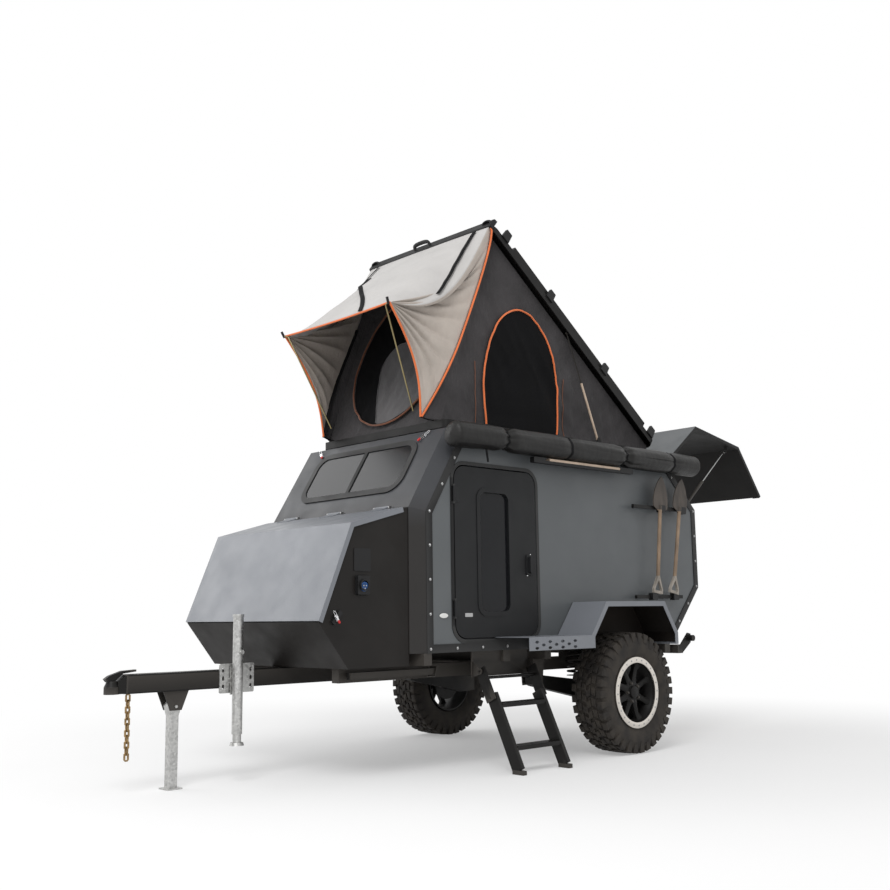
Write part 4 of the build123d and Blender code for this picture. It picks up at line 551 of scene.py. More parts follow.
def patch(name, outline, place, material):
    """Fills an outline with a fan of rings, put on a curved wall by a function."""
    n, rings = len(outline), 16
    cx, cy = (sum(p[i] for p in outline) / n for i in (0, 1))
    verts = [place(cx, cy)]
    for r in range(1, rings + 1):
        k = r / rings
        verts += [place(cx + (a - cx) * k, cy + (b - cy) * k) for a, b in outline]
    faces = [(0, 1 + i, 1 + (i + 1) % n) for i in range(n)]
    for r in range(rings - 1):
        s, t = 1 + r * n, 1 + (r + 1) * n
        faces += [(s + i, t + i, t + (i + 1) % n, s + (i + 1) % n) for i in range(n)]
    return add(name, verts, faces, material)


def flow(points, steps=8):
    """Catmull-Rom line through points of two or three numbers."""
    p = [Vector(q) for q in points]
    out = []
    for i in range(len(p) - 1):
        a, b, c, d = (p[min(max(j, 0), len(p) - 1)] for j in (i - 1, i, i + 1, i + 2))
        for k in range(steps):
            t = k / steps
            bend = (2 * a - 5 * b + 4 * c - d) * t * t + (3 * b - a - 3 * c + d) * t ** 3
            out.append(0.5 * (2 * b + (c - a) * t + bend))
    return out + [p[-1]]


# Tent

PIPE = 0.0065  # the piping's radius
TENT_BASE = up(2.054)
HINGE = (aft(0.8), TENT_BASE + 0.017)
OPEN = radians(37.5)


def lid_point(along, rise):
    """(y, z) of a point along the open lid from its hinge, and above its underside."""
    return (
        HINGE[0] - along * cos(OPEN) + rise * sin(OPEN),
        HINGE[1] + along * sin(OPEN) + rise * cos(OPEN),
    )


FRONT_LOW = (fore(1.288), TENT_BASE + 0.001)
FRONT_TOP = lid_point(2.05, 0.004)
REAR = (aft(0.775), TENT_BASE + 0.001)
REAR_TOP = lid_point(0.03, 0.004)
WALL_X = 0.556


def wall_wave(y, z, seed):
    """Pull creases and slack of a tent wall, in metres inwards."""
    t = wander(y * 2.1, z * 2.6, seed) * 0.01
    t += abs(wander(y * 5 + z * 4.0, (z - y * 0.7) * 1.3, seed + 7)) * 0.013
    t += abs(wander((y - z * 0.8) * 9, (z + y) * 1.6, seed + 5)) * 0.008
    low = max(0.0, 1 - (z - TENT_BASE) / 0.5)
    t += low * wander(y * 16, z * 3.0, seed + 3) * 0.02
    return t


def side_wall(u, v, side):
    low = Vector(FRONT_LOW).lerp(Vector(REAR), u)
    high = Vector(FRONT_TOP).lerp(Vector(REAR_TOP), u)
    p = low.lerp(high, v)
    hold = arch(v) ** 0.5 * arch(u) ** 0.4
    x = WALL_X - (wall_wave(p.x, p.y, 3.0 + side) + 0.006) * hold * 1.8
    return (side * x, p.x, p.y)


def front_wall(u, v):
    p = Vector(FRONT_LOW).lerp(Vector(FRONT_TOP), v)
    hold = (arch(v) * arch(u)) ** 0.5
    d = (wall_wave(u * 1.2, p.y, 11.0) + 0.004) * hold * 1.4
    return (WALL_X * (2 * u - 1), p.x + d, p.y)


tent_walls = [
    surface("tent_side_" + w, lambda u, v: side_wall(u, v, side), 110, 60, CANVAS) for side, w in SIDES
]
tent_walls.append(surface("tent_front", front_wall, 70, 70, CANVAS))
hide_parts("tent_fabric")


def wall_x(y, z, side):
    """Where the side wall stands at this y and z."""
    lo_u, hi_u = 0.0, 1.0
    for _ in range(24):
        mid = (lo_u + hi_u) / 2
        low = Vector(FRONT_LOW).lerp(Vector(REAR), mid)
        high = Vector(FRONT_TOP).lerp(Vector(REAR_TOP), mid)
        t = (z - low.y) / max(1e-6, high.y - low.y)
        if low.x + (high.x - low.x) * t < y:
            lo_u = mid
        else:
            hi_u = mid
    return side * side_wall(mid, min(1, max(0, t)), side)[0]


# Side windows, with piping down both sides and over the top
SIDE_WINDOW = [
    (0.915, 2.068), (0.916, 2.2), (0.911, 2.36), (0.885, 2.52), (0.832, 2.665), (0.744, 2.79), (0.642, 2.855),
    (0.553, 2.872), (0.456, 2.848), (0.354, 2.768), (0.271, 2.65), (0.22, 2.5), (0.204, 2.34), (0.213, 2.2),
    (0.238, 2.068),
]
tent_bits = []


def tent_tube(name, line, radius, material, sides=8, closed=False):
    tent_bits.append(tube("tent_" + name, line, radius, material, sides=sides, closed=closed))


def on_side(line, side, lift):
    """Points (y, z) put on a side wall, and lifted off it."""
    return [(side * (wall_x(y, z, side) + lift), y, z) for y, z in line]


for side, w in SIDES:
    line = flow([(fore(a), up(b)) for a, b in SIDE_WINDOW], 6)
    tent_bits.append(patch(
        "tent_side_mesh_" + w, [tuple(p) for p in line], lambda y, z: on_side([(y, z)], side, 0.014)[0],
        MESHCLOTH,
    ))
    tent_tube("side_piping_" + w, on_side(line, side, 0.016), PIPE, PIPING)
    for k, front in enumerate((1.0, 0.14)):
        seam = [(fore(front - 0.02 * j / 20), up(2.07 + 0.4 * j / 20)) for j in range(21)]
        tent_tube("side_seam_%s_%d" % (w, k), on_side(seam, side, 0.0065), 0.0026, SEAM, 6)


def front_place(x, z, lift):
    """A place on the front wall, lifted off it."""
    v = (z - FRONT_LOW[1]) / (FRONT_TOP[1] - FRONT_LOW[1])
    p = front_wall((x / WALL_X + 1) / 2, min(1, max(0, v)))
    return (x, p[1] - lift, z)


def opening(a, inset=0.0):
    """The front opening's rim at an angle, taller above its middle than below."""
    tall = 0.45 if sin(a) < 0 else 0.56
    return ((0.44 - inset) * cos(a) - 0.01, up(2.55) + (tall - inset) * sin(a))


def flap_place(x, z, lift=0.03):
    return front_place(x, z, lift + 0.004 * sin(x * 21 + z * 7))


# Front opening: its mesh, and the half flap that hangs in front of it
oval = [opening(a) for a in turns(120)]
tent_bits.append(patch("tent_front_mesh", oval, lambda x, z: front_place(x, z, 0.011), MESHCLOTH))
FLAP_EDGE = [
    (-0.057, 2.119), (-0.1, 2.21), (-0.137, 2.32), (-0.165, 2.41), (-0.18, 2.498), (-0.172, 2.56),
    (-0.143, 2.608),
    (-0.067, 2.662), (0.016, 2.672), (0.15, 2.66), (0.3, 2.668), (0.425, 2.655),
]
half = [tuple(p) for p in flow([(x, up(z)) for x, z in FLAP_EDGE], 5)]
half += [opening(radians(8 - 103 * k / 40), 0.01) for k in range(41)]
tent_bits.append(patch("tent_front_flap", half, flap_place, FLAP))
tent_tube("front_flap_hem", [flap_place(x, z, 0.031) for x, z in half[:50]], 0.0035, FLAP)
tent_tube("front_piping", [front_place(x, z, 0.024) for x, z in oval], PIPE, SEAM, closed=True)

# Fly

TIP = (0.534, fore(1.676), up(2.726))
LOW = (0.485, fore(1.393), up(2.072))
CORNER = (0.596, lid_point(2.122, 0.012)[0] - 0.001, lid_point(2.122, 0.012)[1])
EAVE_SAG = 0.215


def outer_edge(r, side):
    """The fly's edge down the tent's front corner, from the lid to the low tip."""
    p = lerp(CORNER, LOW, r)
    x = CORNER[0] + (LOW[0] - CORNER[0]) * max(0.0, (r - 0.6) / 0.4) ** 2
    return Vector((side * x, p.y + 0.052 * arch(r ** 0.5), p.z))


def roof_fly(u, v):
    """u across from right to left, v from the lid's edge to the pole line."""
    x = 2 * u - 1
    back = sided(CORNER, x)
    front = Vector((x * TIP[0], TIP[1] + 0.008 * (1 - x * x), TIP[2] - 0.006 * (1 - x * x)))
    p = back.lerp(front, v)
    hold = arch(v)
    side = abs(x)
    drop = hold * (EAVE_SAG * side ** 5 - 0.028 * (1 - side * side))
    ripple = sin(x * 11 + v * 5) * 0.005 + wander(x * 3, v * 3, 4.0) * 0.018
    ripple += abs(sin(7.5 * pi * v + x * 2)) * 0.012 * side ** 3
    p.z -= drop + ripple * hold * (1 - side ** 12)
    p.x += (0.035 * hold * side ** 4) * (1 if x > 0 else -1)
    return p


def wing(u, v, side):
    """u runs round the fan from the eave to the inner edge, v from the pole tip outwards."""
    tip = sided(TIP, side)
    p = tip.lerp(outer_edge(u, side), v)
    slack = arch(v)
    p.y += 0.075 * slack * u ** 4
    turn = 9.5 * pi * u + 0.9 * wander(u * 5, v * 1.5, side * 2.0)
    pleat = abs(sin(turn)) ** 0.8 - 0.55
    depth = 0.03 * slack ** 0.8 * min(1.0, u * 6, (1 - u) * 9)
    belly = -0.03 * slack * arch(u) ** 0.8
    p += Vector((side * 0.95, -0.3, 0.0)) * (pleat * depth + belly)
    # The first third turns into the roof's eave
    if u < 0.34:
        k = 1 - u / 0.34
        k = k * k * (3 - 2 * k)
        level = tip.lerp(outer_edge(0, side), v)
        p += (Vector(roof_fly(1.0 if side > 0 else 0.0, 1 - v)) - level) * k
    return p


def margin(u, v, side):
    """Canvas from the fly's edge to the tent's front corner."""
    rise = 1 - v
    y, z = (low + (top - low) * rise for low, top in zip(FRONT_LOW, FRONT_TOP))
    p = outer_edge(v, side).lerp(Vector((side * WALL_X, y, z)), u)
    return p + Vector((0, 0.012 * sin(pi * u) * sin(9 * v), 0))


fly_parts = []
wings = []


def fly_tube(name, line, radius, material, sides=8, flat=None):
    fly_parts.append(tube("fly_" + name, line, radius, material, sides=sides, flat=flat))


for side, w in SIDES:
    # The wings take the fly's cloth with painted shade
    wings.append(surface("fly_wing_" + w, lambda u, v: wing(u, v, side), 110, 40, FLY_SHADED, 0.0008))
    line = [outer_edge(k / 40, side) + Vector((side * 0.008, 0.003, 0)) for k in range(41)]
    fly_tube("outer_piping_" + w, line, PIPE, PIPING)
    fly_tube("inner_piping_" + w, [wing(1.0, k / 40, side) for k in range(41)], PIPE, PIPING)
    tent_walls.append(surface("tent_margin_" + w, lambda u, v: margin(u, v, side), 8, 60, CANVAS))
    strip = [wing(0.99 - 0.62 * k / 24, 0.99, side) + Vector((-side * 0.01, 0.002, 0)) for k in range(25)]
    fly_tube("edge_webbing_" + w, strip, 0.0018, WEBBING, flat=0.011)
fly_roof = surface("fly_roof", roof_fly, 90, 50, FLY, 0.0008)
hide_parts("tent_fly")
front_piping = tube("fly_front_piping", [roof_fly(k / 60, 1.0) for k in range(61)], PIPE, PIPING)
# Poles from the front wall to the wings' tips, and the webbing that ties the wings' low corners down
for side, w in SIDES:
    tip = sided(TIP, side)
    root = Vector((side * 0.41, fore(1.385), up(2.12)))
    d = (tip - root).normalized()
    tip += Vector((0, -0.012, 0))
    head = tip + Vector((-side * 0.035, 0.012, -0.012))
    fly_tube("pole_" + w, [root, root.lerp(head, 0.5), head, tip], 0.0048, BRASS, 10)
    fly_tube("pole_end_" + w, [tip - d * 0.014, tip + d * 0.03], 0.0085, PLASTIC, 10)
    low = sided(LOW, side)
    tie = [low, low + Vector((side * 0.01, 0.05, -0.012)), Vector((side * 0.5, fore(1.3), TENT_BASE + 0.004))]
    fly_tube("tie_" + w, tie, 0.002, WEBBING, flat=0.011)
# Roll-up straps, one across the roof and one over each eave
over = flow([(0.224, 0.3), (0.267, 0.47), (0.59, 0.82), (0.725, 0.99)], 12)
strap = [roof_fly(p.x, p.y) + Vector((0, -0.3, 0.9)) * 0.009 for p in over]
fly_tube("roof_strap", strap, 0.002, WEBBING, flat=0.015)
for side, w in SIDES:
    lift = Vector((side * 0.005, -0.003, 0.009))
    strap = [roof_fly(0.5 + side * (0.405 + 0.08 * k / 30), 0.03 + 0.53 * k / 30) + lift for k in range(31)]
    fly_tube("eave_strap_" + w, strap, 0.002, WEBBING, flat=0.015)

# Apply the modifiers, and give each piece a mesh of its own
for o in tent_walls + tent_bits + fly_parts + wings + [fly_roof, front_piping]:
    for mod in list(o.modifiers):
        with bpy.context.temp_override(object=o, active_object=o):
            bpy.context.view_layer.objects.active = o
            bpy.ops.object.modifier_apply(modifier=mod.name)
    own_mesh(o)


for side, w in SIDES:
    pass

# Handles and brackets of the lid


def lid3(x, along, rise):
    y, z = lid_point(along, rise)
    return Vector((x, y, z))


def lid_loop(name, x0, x1, reach, thick=0.006, wide=0.011):
    """A carrying loop that stands off the lid's front lip between two feet."""
    d = (x1 - x0) / 4
    line = [(x0, 2.118, 0.03), (x0 + d * 0.2, 2.118 + reach, 0.045), (x0 + 2 * d, 2.124 + reach, 0.052)]
    line += [(x1 - d * 0.2, 2.118 + reach, 0.045), (x1, 2.118, 0.03)]
    return tube(name, flow([lid3(*p) for p in line], 6), thick, PLASTIC, "tent_lid", flat=wide)


lid_loop("lid_handle", -0.13, 0.02, 0.036, 0.006, 0.014)
lip = [(2.098, 0.001), (2.126, 0.001), (2.132, 0.008), (2.132, 0.062), (2.124, 0.074), (2.098, 0.078)]
v, f = prism_data(lip, lambda a, b: lid3(-0.616, a, b), (1.232, 0, 0))
bevel(add("lid_front_lip", v, f, TRIM, "tent_lid", smooth=False), 0.003)
CLAMP = [(-0.035, 0.035), (0.035, 0.035), (0.028, 0.108), (-0.028, 0.108)]
for side, w in SIDES:
    lid_loop("lid_corner_loop_" + w, side * 0.53, side * 0.6, 0.016, 0.008)
    # Clamps of the side rails
    for k, along in enumerate((0.1, 0.75, 1.45, 1.98)):
        clamp = [(along + a, b) for a, b in CLAMP]
        v, f = prism_data(clamp, lambda a, b: lid3(side * 0.6, a, b), (side * 0.022, 0, 0))
        bevel(add("rail_clamp_%s_%d" % (w, k), v, f, PLASTIC, "tent_lid", smooth=False), 0.004)

# Screws along the side trim

TRIM_LINE = [
    (fore(1.577) + 0.026, up(0.695)), (fore(1.577) + 0.026, up(1.474)), (fore(1.264) + 0.02, up(1.962)),
    (aft(0.705), up(1.962)), (aft(1.081), up(1.612)), (aft(1.081), up(1.066)), (aft(0.735), up(0.695)),
]
SCREW_PITCH = 0.2
places = []
for (y0, z0), (y1, z1) in zip(TRIM_LINE, TRIM_LINE[1:] + TRIM_LINE[:1]):
    count = max(1, round(hypot(y1 - y0, z1 - z0) / SCREW_PITCH))
    places += [(y0 + (y1 - y0) * k / count, z0 + (z1 - z0) * k / count) for k in range(count)]
heads = [((s * 0.727, y, z), (s, 0, 0)) for s in (1, -1) for y, z in places]
screws("trim_screws", heads, 0.0065, 0.006, STEEL)

# Awning bag: a strapped roll that sags between its straps, with a rimmed cap at its rear end

BAG_X, BAG_Z = 0.816, up(1.929)
BAG_FRONT, BAG_REAR = fore(1.465), aft(0.96)
# Straps as (place, depth of the pinch, its half width)
BAG_STRAPS = [
    (fore(1.02), 0.024, 0.035), (fore(-0.13), 0.022, 0.035), (fore(0.45), 0.006, 0.05),
    (fore(-0.66), 0.008, 0.05),
]
BAG_RADIUS, BAG_MOST = 0.0755, 0.0785
BAG_END = 0.035


def bag_radius(y, a):
    """The roll's radius at a place along it and an angle round it."""
    c, s = cos(a), sin(a)
    r = BAG_RADIUS
    for at, deep, wide in BAG_STRAPS:
        near = abs(y - at)
        r -= deep * exp(-(near / wide) ** 2)
        # Gathers run out from the strap
        r += deep * 0.2 * sin(a * 9 + 4 * wander(y * 3, 0, at)) * exp(-near / 0.09)
    r += 0.006 * wander(c * 1.1, s * 1.1, y * 2.3)
    r -= 0.007 * abs(wander(c * 2.1 + 3, s * 2.1, y * 1.3 + a * 0.6))
    r *= 1 + 0.06 * max(0.0, -s)
    return min(r, BAG_MOST)


def bag_skin(u, v):
    y = BAG_FRONT + (BAG_REAR - BAG_FRONT) * v
    a = 2 * pi * u
    r = bag_radius(y, a)
    t = (y - BAG_FRONT) / BAG_END
    if t < 1:
        r *= 0.002 + 0.998 * sqrt(max(0.0, 1 - (1 - t) ** 2))
    # The front end hangs a little
    drop = 0.012 * max(0.0, 1 - (y - BAG_FRONT) / 0.3)
    return (BAG_X + r * cos(a), y, BAG_Z + r * sin(a) * (1 - 0.5 * drop) - drop * 0.5)


def round_bag(y, radius):
    """A line round the bag at y; radius is a function of the angle."""
    return [(BAG_X + radius(a) * cos(a), y, BAG_Z + radius(a) * sin(a)) for a in turns(48)]


bag = surface("awning_bag_cloth", bag_skin, 56, 230, BAG)
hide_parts("awning_bag")
cap = [(-0.03, 0.0665), (0.004, 0.0685), (0.006, 0.064), (0.004, 0.056), (0.001, 0.0)]
add("awning_bag_cap", *wheel_of(cap, (BAG_X, BAG_REAR, BAG_Z), (0, 1, 0)), PLASTIC, angle=40)
tube("awning_bag_rim", round_bag(BAG_REAR + 0.002, lambda a: 0.0675), 0.0026, SEAM, closed=True)
for k, (y, _, _) in enumerate(BAG_STRAPS):
    loop = round_bag(y, lambda a: bag_radius(y, a) + 0.0012)
    tube("awning_bag_strap_%d" % k, loop, 0.0016, WEBBING, closed=True, flat=0.012)
tail = [(BAG_X + 0.02, fore(1.188) + 0.002 * j, BAG_Z - 0.076 - 0.011 * j) for j in range(8)]
tube("awning_bag_tail", tail, 0.0015, WEBBING, flat=0.009)

# Light bar's housing, under and beyond its lens
v, f = prism_data(rounded(1.0, 0.018, 0.006, 2.838, 1.2905), lambda a, b: (0.797, a, b), (0.0335, 0, 0))
add("light_bar_housing", v, f, PLASTIC, angle=40)
for k, (y0, y1) in enumerate(((2.338, 2.446), (3.2, 3.338))):
    end = rounded(y1 - y0, 0.034, 0.008, (y0 + y1) / 2, 1.301)
    v, f = prism_data(end, lambda a, b: (0.7965, a, b), (0.0345, 0, 0))
    add("light_bar_end_%d" % k, v, f, PLASTIC, angle=40)

# Rubber clamps that hold the shovels on their rack, and the screws of the door's handle
clamps = []
for y in (aft(0.612), aft(0.86)):
    for shift, z in ((0.0, up(1.6)), (0.13, up(0.99))):
        pad = rounded(0.062, 0.05, 0.012, y - shift, z)
        clamps.append(prism_data(pad, lambda a, b: (0.762, a, b), (0.036, 0, 0)))
add("shovel_clamps", *join_data(clamps), PLASTIC, angle=40)
for side, w in SIDES:
    spots = [(fore(0.719 - d), up(1.182 + e)) for d, e in ((0.016, 0.062), (-0.016, -0.062))]
    heads = [((side * 0.7265, y, z), (side, 0, 0)) for y, z in spots]
    screws("handle_screws_" + w, heads, 0.0048, 0.003, CHROME, "door_" + w)

# Toggle latches from the slope to the tent's tray, and small fittings


def toggle(name, p, along, out, size):
    """A chrome over-centre latch with a red grip, lying along a direction on a face."""
    e, n = Vector(along).normalized(), Vector(out).normalized()
    w = e.cross(n)
    p = Vector(p)

    def on(a, b, c):
        return p + (e * a + w * b + n * c) * size

    plate = prism_data(rounded(0.062, 0.026, 0.006), lambda a, b: on(a, b, 0.0005), n * 0.003 * size)
    pivot = [(d * size, r * size) for d, r in ((-0.013, 0.0), (-0.013, 0.007), (0.013, 0.007), (0.013, 0.0))]
    hub = wheel_of(pivot, on(0.012, 0, 0.009), w, 20)
    arm = [(-0.03, 0.006), (-0.026, 0.014), (0.012, 0.018), (0.018, 0.012), (0.014, 0.004)]
    lever = prism_data(arm, lambda a, b: on(a, -0.009, b), w * 0.018 * size)
    add(name, *join_data([plate, hub, lever]), CHROME, angle=35)
    hook = [(0.012, -0.01), (0.06, -0.01), (0.07, -0.005), (0.07, 0.005), (0.06, 0.01), (0.012, 0.01)]
    line = flow([on(a, b, 0.012) for a, b in hook], 4)
    tube(name + "_hook", line, 0.0024 * size, CHROME)
    grip = prism_data(rounded(0.03, 0.02, 0.007, -0.036, 0), lambda a, b: on(a, b, 0.011), n * 0.007 * size)
    add(name + "_grip", *grip, RED, angle=40)


INLET = (fore(1.998), up(1.042))
for side, w in SIDES:
    toggle("slope_latch_" + w, (side * 0.505, fore(1.387), up(1.943)), (side * 0.5, 0.26, 0.42),
           (0, -0.853, 0.522), 0.8)
    toggle("nose_latch_" + w, (side * 0.679, fore(2.18), up(0.875)), (0, -0.5, 0.87), (side, 0, 0), 0.6)
    if side > 0:
        rings = [(0.0, 0.0), (0.0, 0.026), (0.003, 0.026), (0.004, 0.02), (0.002, 0.017), (0.002, 0.0)]
        add("inlet_socket", *wheel_of(rings, (0.6865, *INLET), (1, 0, 0), 36), BLUE, angle=40)
        spots = [(0.6885, INLET[0] + 0.01 * cos(a), INLET[1] + 0.01 * sin(a)) for a in (0.5, 2.6, 4.7)]
        pins = [wheel_of([(0.0, 0.004), (0.006, 0.004), (0.007, 0.0)], spot, (1, 0, 0), 12) for spot in spots]
        add("inlet_pins", *join_data(pins), STEEL, angle=40)
    lens = prism_data([(0.032 * cos(a), 0.014 * sin(a)) for a in turns(36)],
                      lambda a, b: (side * 0.7222, fore(1.447) + a, up(0.88) + b), (side * 0.008, 0, 0))
    bevel(add("side_marker_" + w, *lens, WHITE, angle=30), 0.003, 3)
    plate = prism_data(rounded(0.062, 0.022, 0.004),
                       lambda a, b: (side * 0.7262, fore(1.247) + a, up(0.882) + b), (side * 0.0016, 0, 0))
    add("door_plate_" + w, *plate, STEEL, "door_" + w, smooth=False)

# Coil springs and dampers of the trailing arms

SPRING_X, SPRING_Y, DAMPER_Y = 0.59, AXLE - 0.15, AXLE + 0.04
SPRING_LOW, SPRING_TOP = up(0.482), up(0.647)
COIL_RADIUS, COIL_ANGLE = 0.047, 9 * pi
DAMPER_LOW, DAMPER_TOP = -0.089, 0.118
DAMPER = [
    (0, 0.0), (0, 0.012), (0.012, 0.017), (0.016, 0.026), (0.1, 0.026), (0.104, 0.012), (0.125, 0.01),
    (0.13, 0.0275), (DAMPER_TOP - DAMPER_LOW, 0.0275), (DAMPER_TOP - DAMPER_LOW, 0.0),
]
spring_bits, damper_bits = [], []
for side in (1, -1):
    x, coil = side * SPRING_X, []
    for t in [COIL_ANGLE * k / 170 for k in range(171)]:
        rise = (SPRING_TOP - SPRING_LOW - 0.016) * t / COIL_ANGLE
        coil.append((x + COIL_RADIUS * cos(t), SPRING_Y + COIL_RADIUS * sin(t), SPRING_LOW + 0.008 + rise))
    spring_bits.append(tube_data(coil, 0.0065))
    for z, d in ((SPRING_LOW, 0.004), (SPRING_TOP, -0.004)):
        seat = [(0, 0.0), (0, 0.054), (d, 0.054), (d, 0.0)]
        spring_bits.append(wheel_of(seat, (x, SPRING_Y, z), (0, 0, 1), 28))
    damper_bits.append(wheel_of(DAMPER, (x, DAMPER_Y, DAMPER_LOW), (0, 0, 1), 28))
springs = add("coil_springs", *join_data(spring_bits), CHASSIS, angle=40)
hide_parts("dampers")
add("damper_tubes", *join_data(damper_bits), STEEL, angle=40)

# Painted shade of the wheel arches: a dark sheet under each fender's sheet, and one on the wall behind the
# wheel
ARCH = [(-0.46, 0.69), (-0.46, 0.752), (-0.3055, 0.9505), (0.2975, 0.9505), (0.432, 0.752), (0.432, 0.69)]
ARCH_INSIDE = [(y * 0.994, z - 0.0025) for y, z in reversed(ARCH)]
for side, w in SIDES:
    for name, x, outline, deep in (
        ("fender_lining_", 0.729, ARCH + ARCH_INSIDE, 0.262), ("wheel_well_", 0.7272, ARCH, 0.0016),
    ):
        outline = [(AXLE + y, up(z)) for y, z in outline]
        v, f = prism_data(outline, lambda a, b: (side * x, a, b), (side * deep, 0, 0))
        add(name + w, v, f, ARCH_SHADE, smooth=False)

# Quilted mattress

(mx0, my0, mz0), (mx1, my1, mz1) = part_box("mattress")


def cushion(u, v):
    """Rings of the mattress from the middle of its underside over the edge to the middle of its top."""
    a = 2 * pi * u
    c, s = cos(a), sin(a)
    k = (abs(c) ** 7 + abs(s) ** 7) ** (-1 / 7)
    hx, hy, hz = (mx1 - mx0) / 2, (my1 - my0) / 2, (mz1 - mz0) / 2
    if v < 0.2:
        r, z = v / 0.2 * 0.985, -1.0
    elif v < 0.4:
        t = (v - 0.2) / 0.2
        r, z = 0.985 + 0.015 * sin(pi * t) ** 0.6, -1 + 2 * t
    else:
        r, z = 0.985 * (1 - (v - 0.4) / 0.6), 1.0
    x, y = hx * k * c * r, hy * k * s * r
    top = 0.0
    if z == 1.0:
        wave = abs(sin(pi * x / 0.135)) ** 0.5 * abs(sin(pi * y / 0.2)) ** 0.5
        top = -0.016 + 0.016 * wave
        top -= 0.012 * max(0.0, (r - 0.9) / 0.085)
    return ((mx0 + mx1) / 2 + x, (my0 + my1) / 2 + y, (mz0 + mz1) / 2 + hz * z + top)


pad = surface("mattress_quilted", cushion, 128, 110, FOAM)
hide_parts("mattress")
middle = ((mx0 + mx1) / 2, (my0 + my1) / 2)
edge = [cushion(j / 128, 0.3) for j in range(128)]
for k, z in enumerate((mz0 + 0.012, mz1 - 0.014)):
    rim = [tuple((p[i] - middle[i]) * 0.998 + middle[i] for i in (0, 1)) + (z,) for p in edge]
    tube("mattress_piping_%d" % k, rim, 0.004, WEBBING, closed=True)

# Wheels, in x outwards from a wheel's middle, radius and angle

TYRE = [
    (-0.088, 0.206), (-0.098, 0.212), (-0.104, 0.228), (-0.113, 0.25), (-0.118, 0.28), (-0.118, 0.31),
    (-0.113, 0.34), (-0.104, 0.356), (-0.09, 0.364), (-0.05, 0.367), (0.0, 0.368), (0.05, 0.367),
    (0.09, 0.364),
    (0.104, 0.356), (0.113, 0.34), (0.118, 0.31), (0.118, 0.28), (0.113, 0.25), (0.107, 0.234),
    (0.1045, 0.229),
    (0.102, 0.206),
]
BARREL = [
    (-0.104, 0.203), (-0.104, 0.192), (-0.09, 0.19), (-0.02, 0.172), (0.06, 0.172), (0.085, 0.186),
    (0.102, 0.19),
    (0.104, 0.203),
]
HUB = [
    (-0.07, 0.12), (-0.07, 0.05), (0.02, 0.05), (0.02, 0.075), (0.07, 0.072), (0.076, 0.066), (0.078, 0.04),
    (0.092, 0.038), (0.096, 0.03), (0.097, 0.0),
]
BEAD_RING = [(0.106, 0.186), (0.115, 0.186), (0.1165, 0.19), (0.1165, 0.218), (0.114, 0.222), (0.106, 0.222)]
# A spoke's sections as radius, half width, inner and outer x, and the order of a section's corners
SPOKE = [
    (0.05, 0.024, 0.03, 0.078), (0.1, 0.019, 0.03, 0.07), (0.15, 0.017, 0.035, 0.066),
    (0.187, 0.03, 0.04, 0.082),
]
SPOKE_ORDER = (0, 2, 4, 5, 3, 1)
SPOKES, TREADS = 8, 34


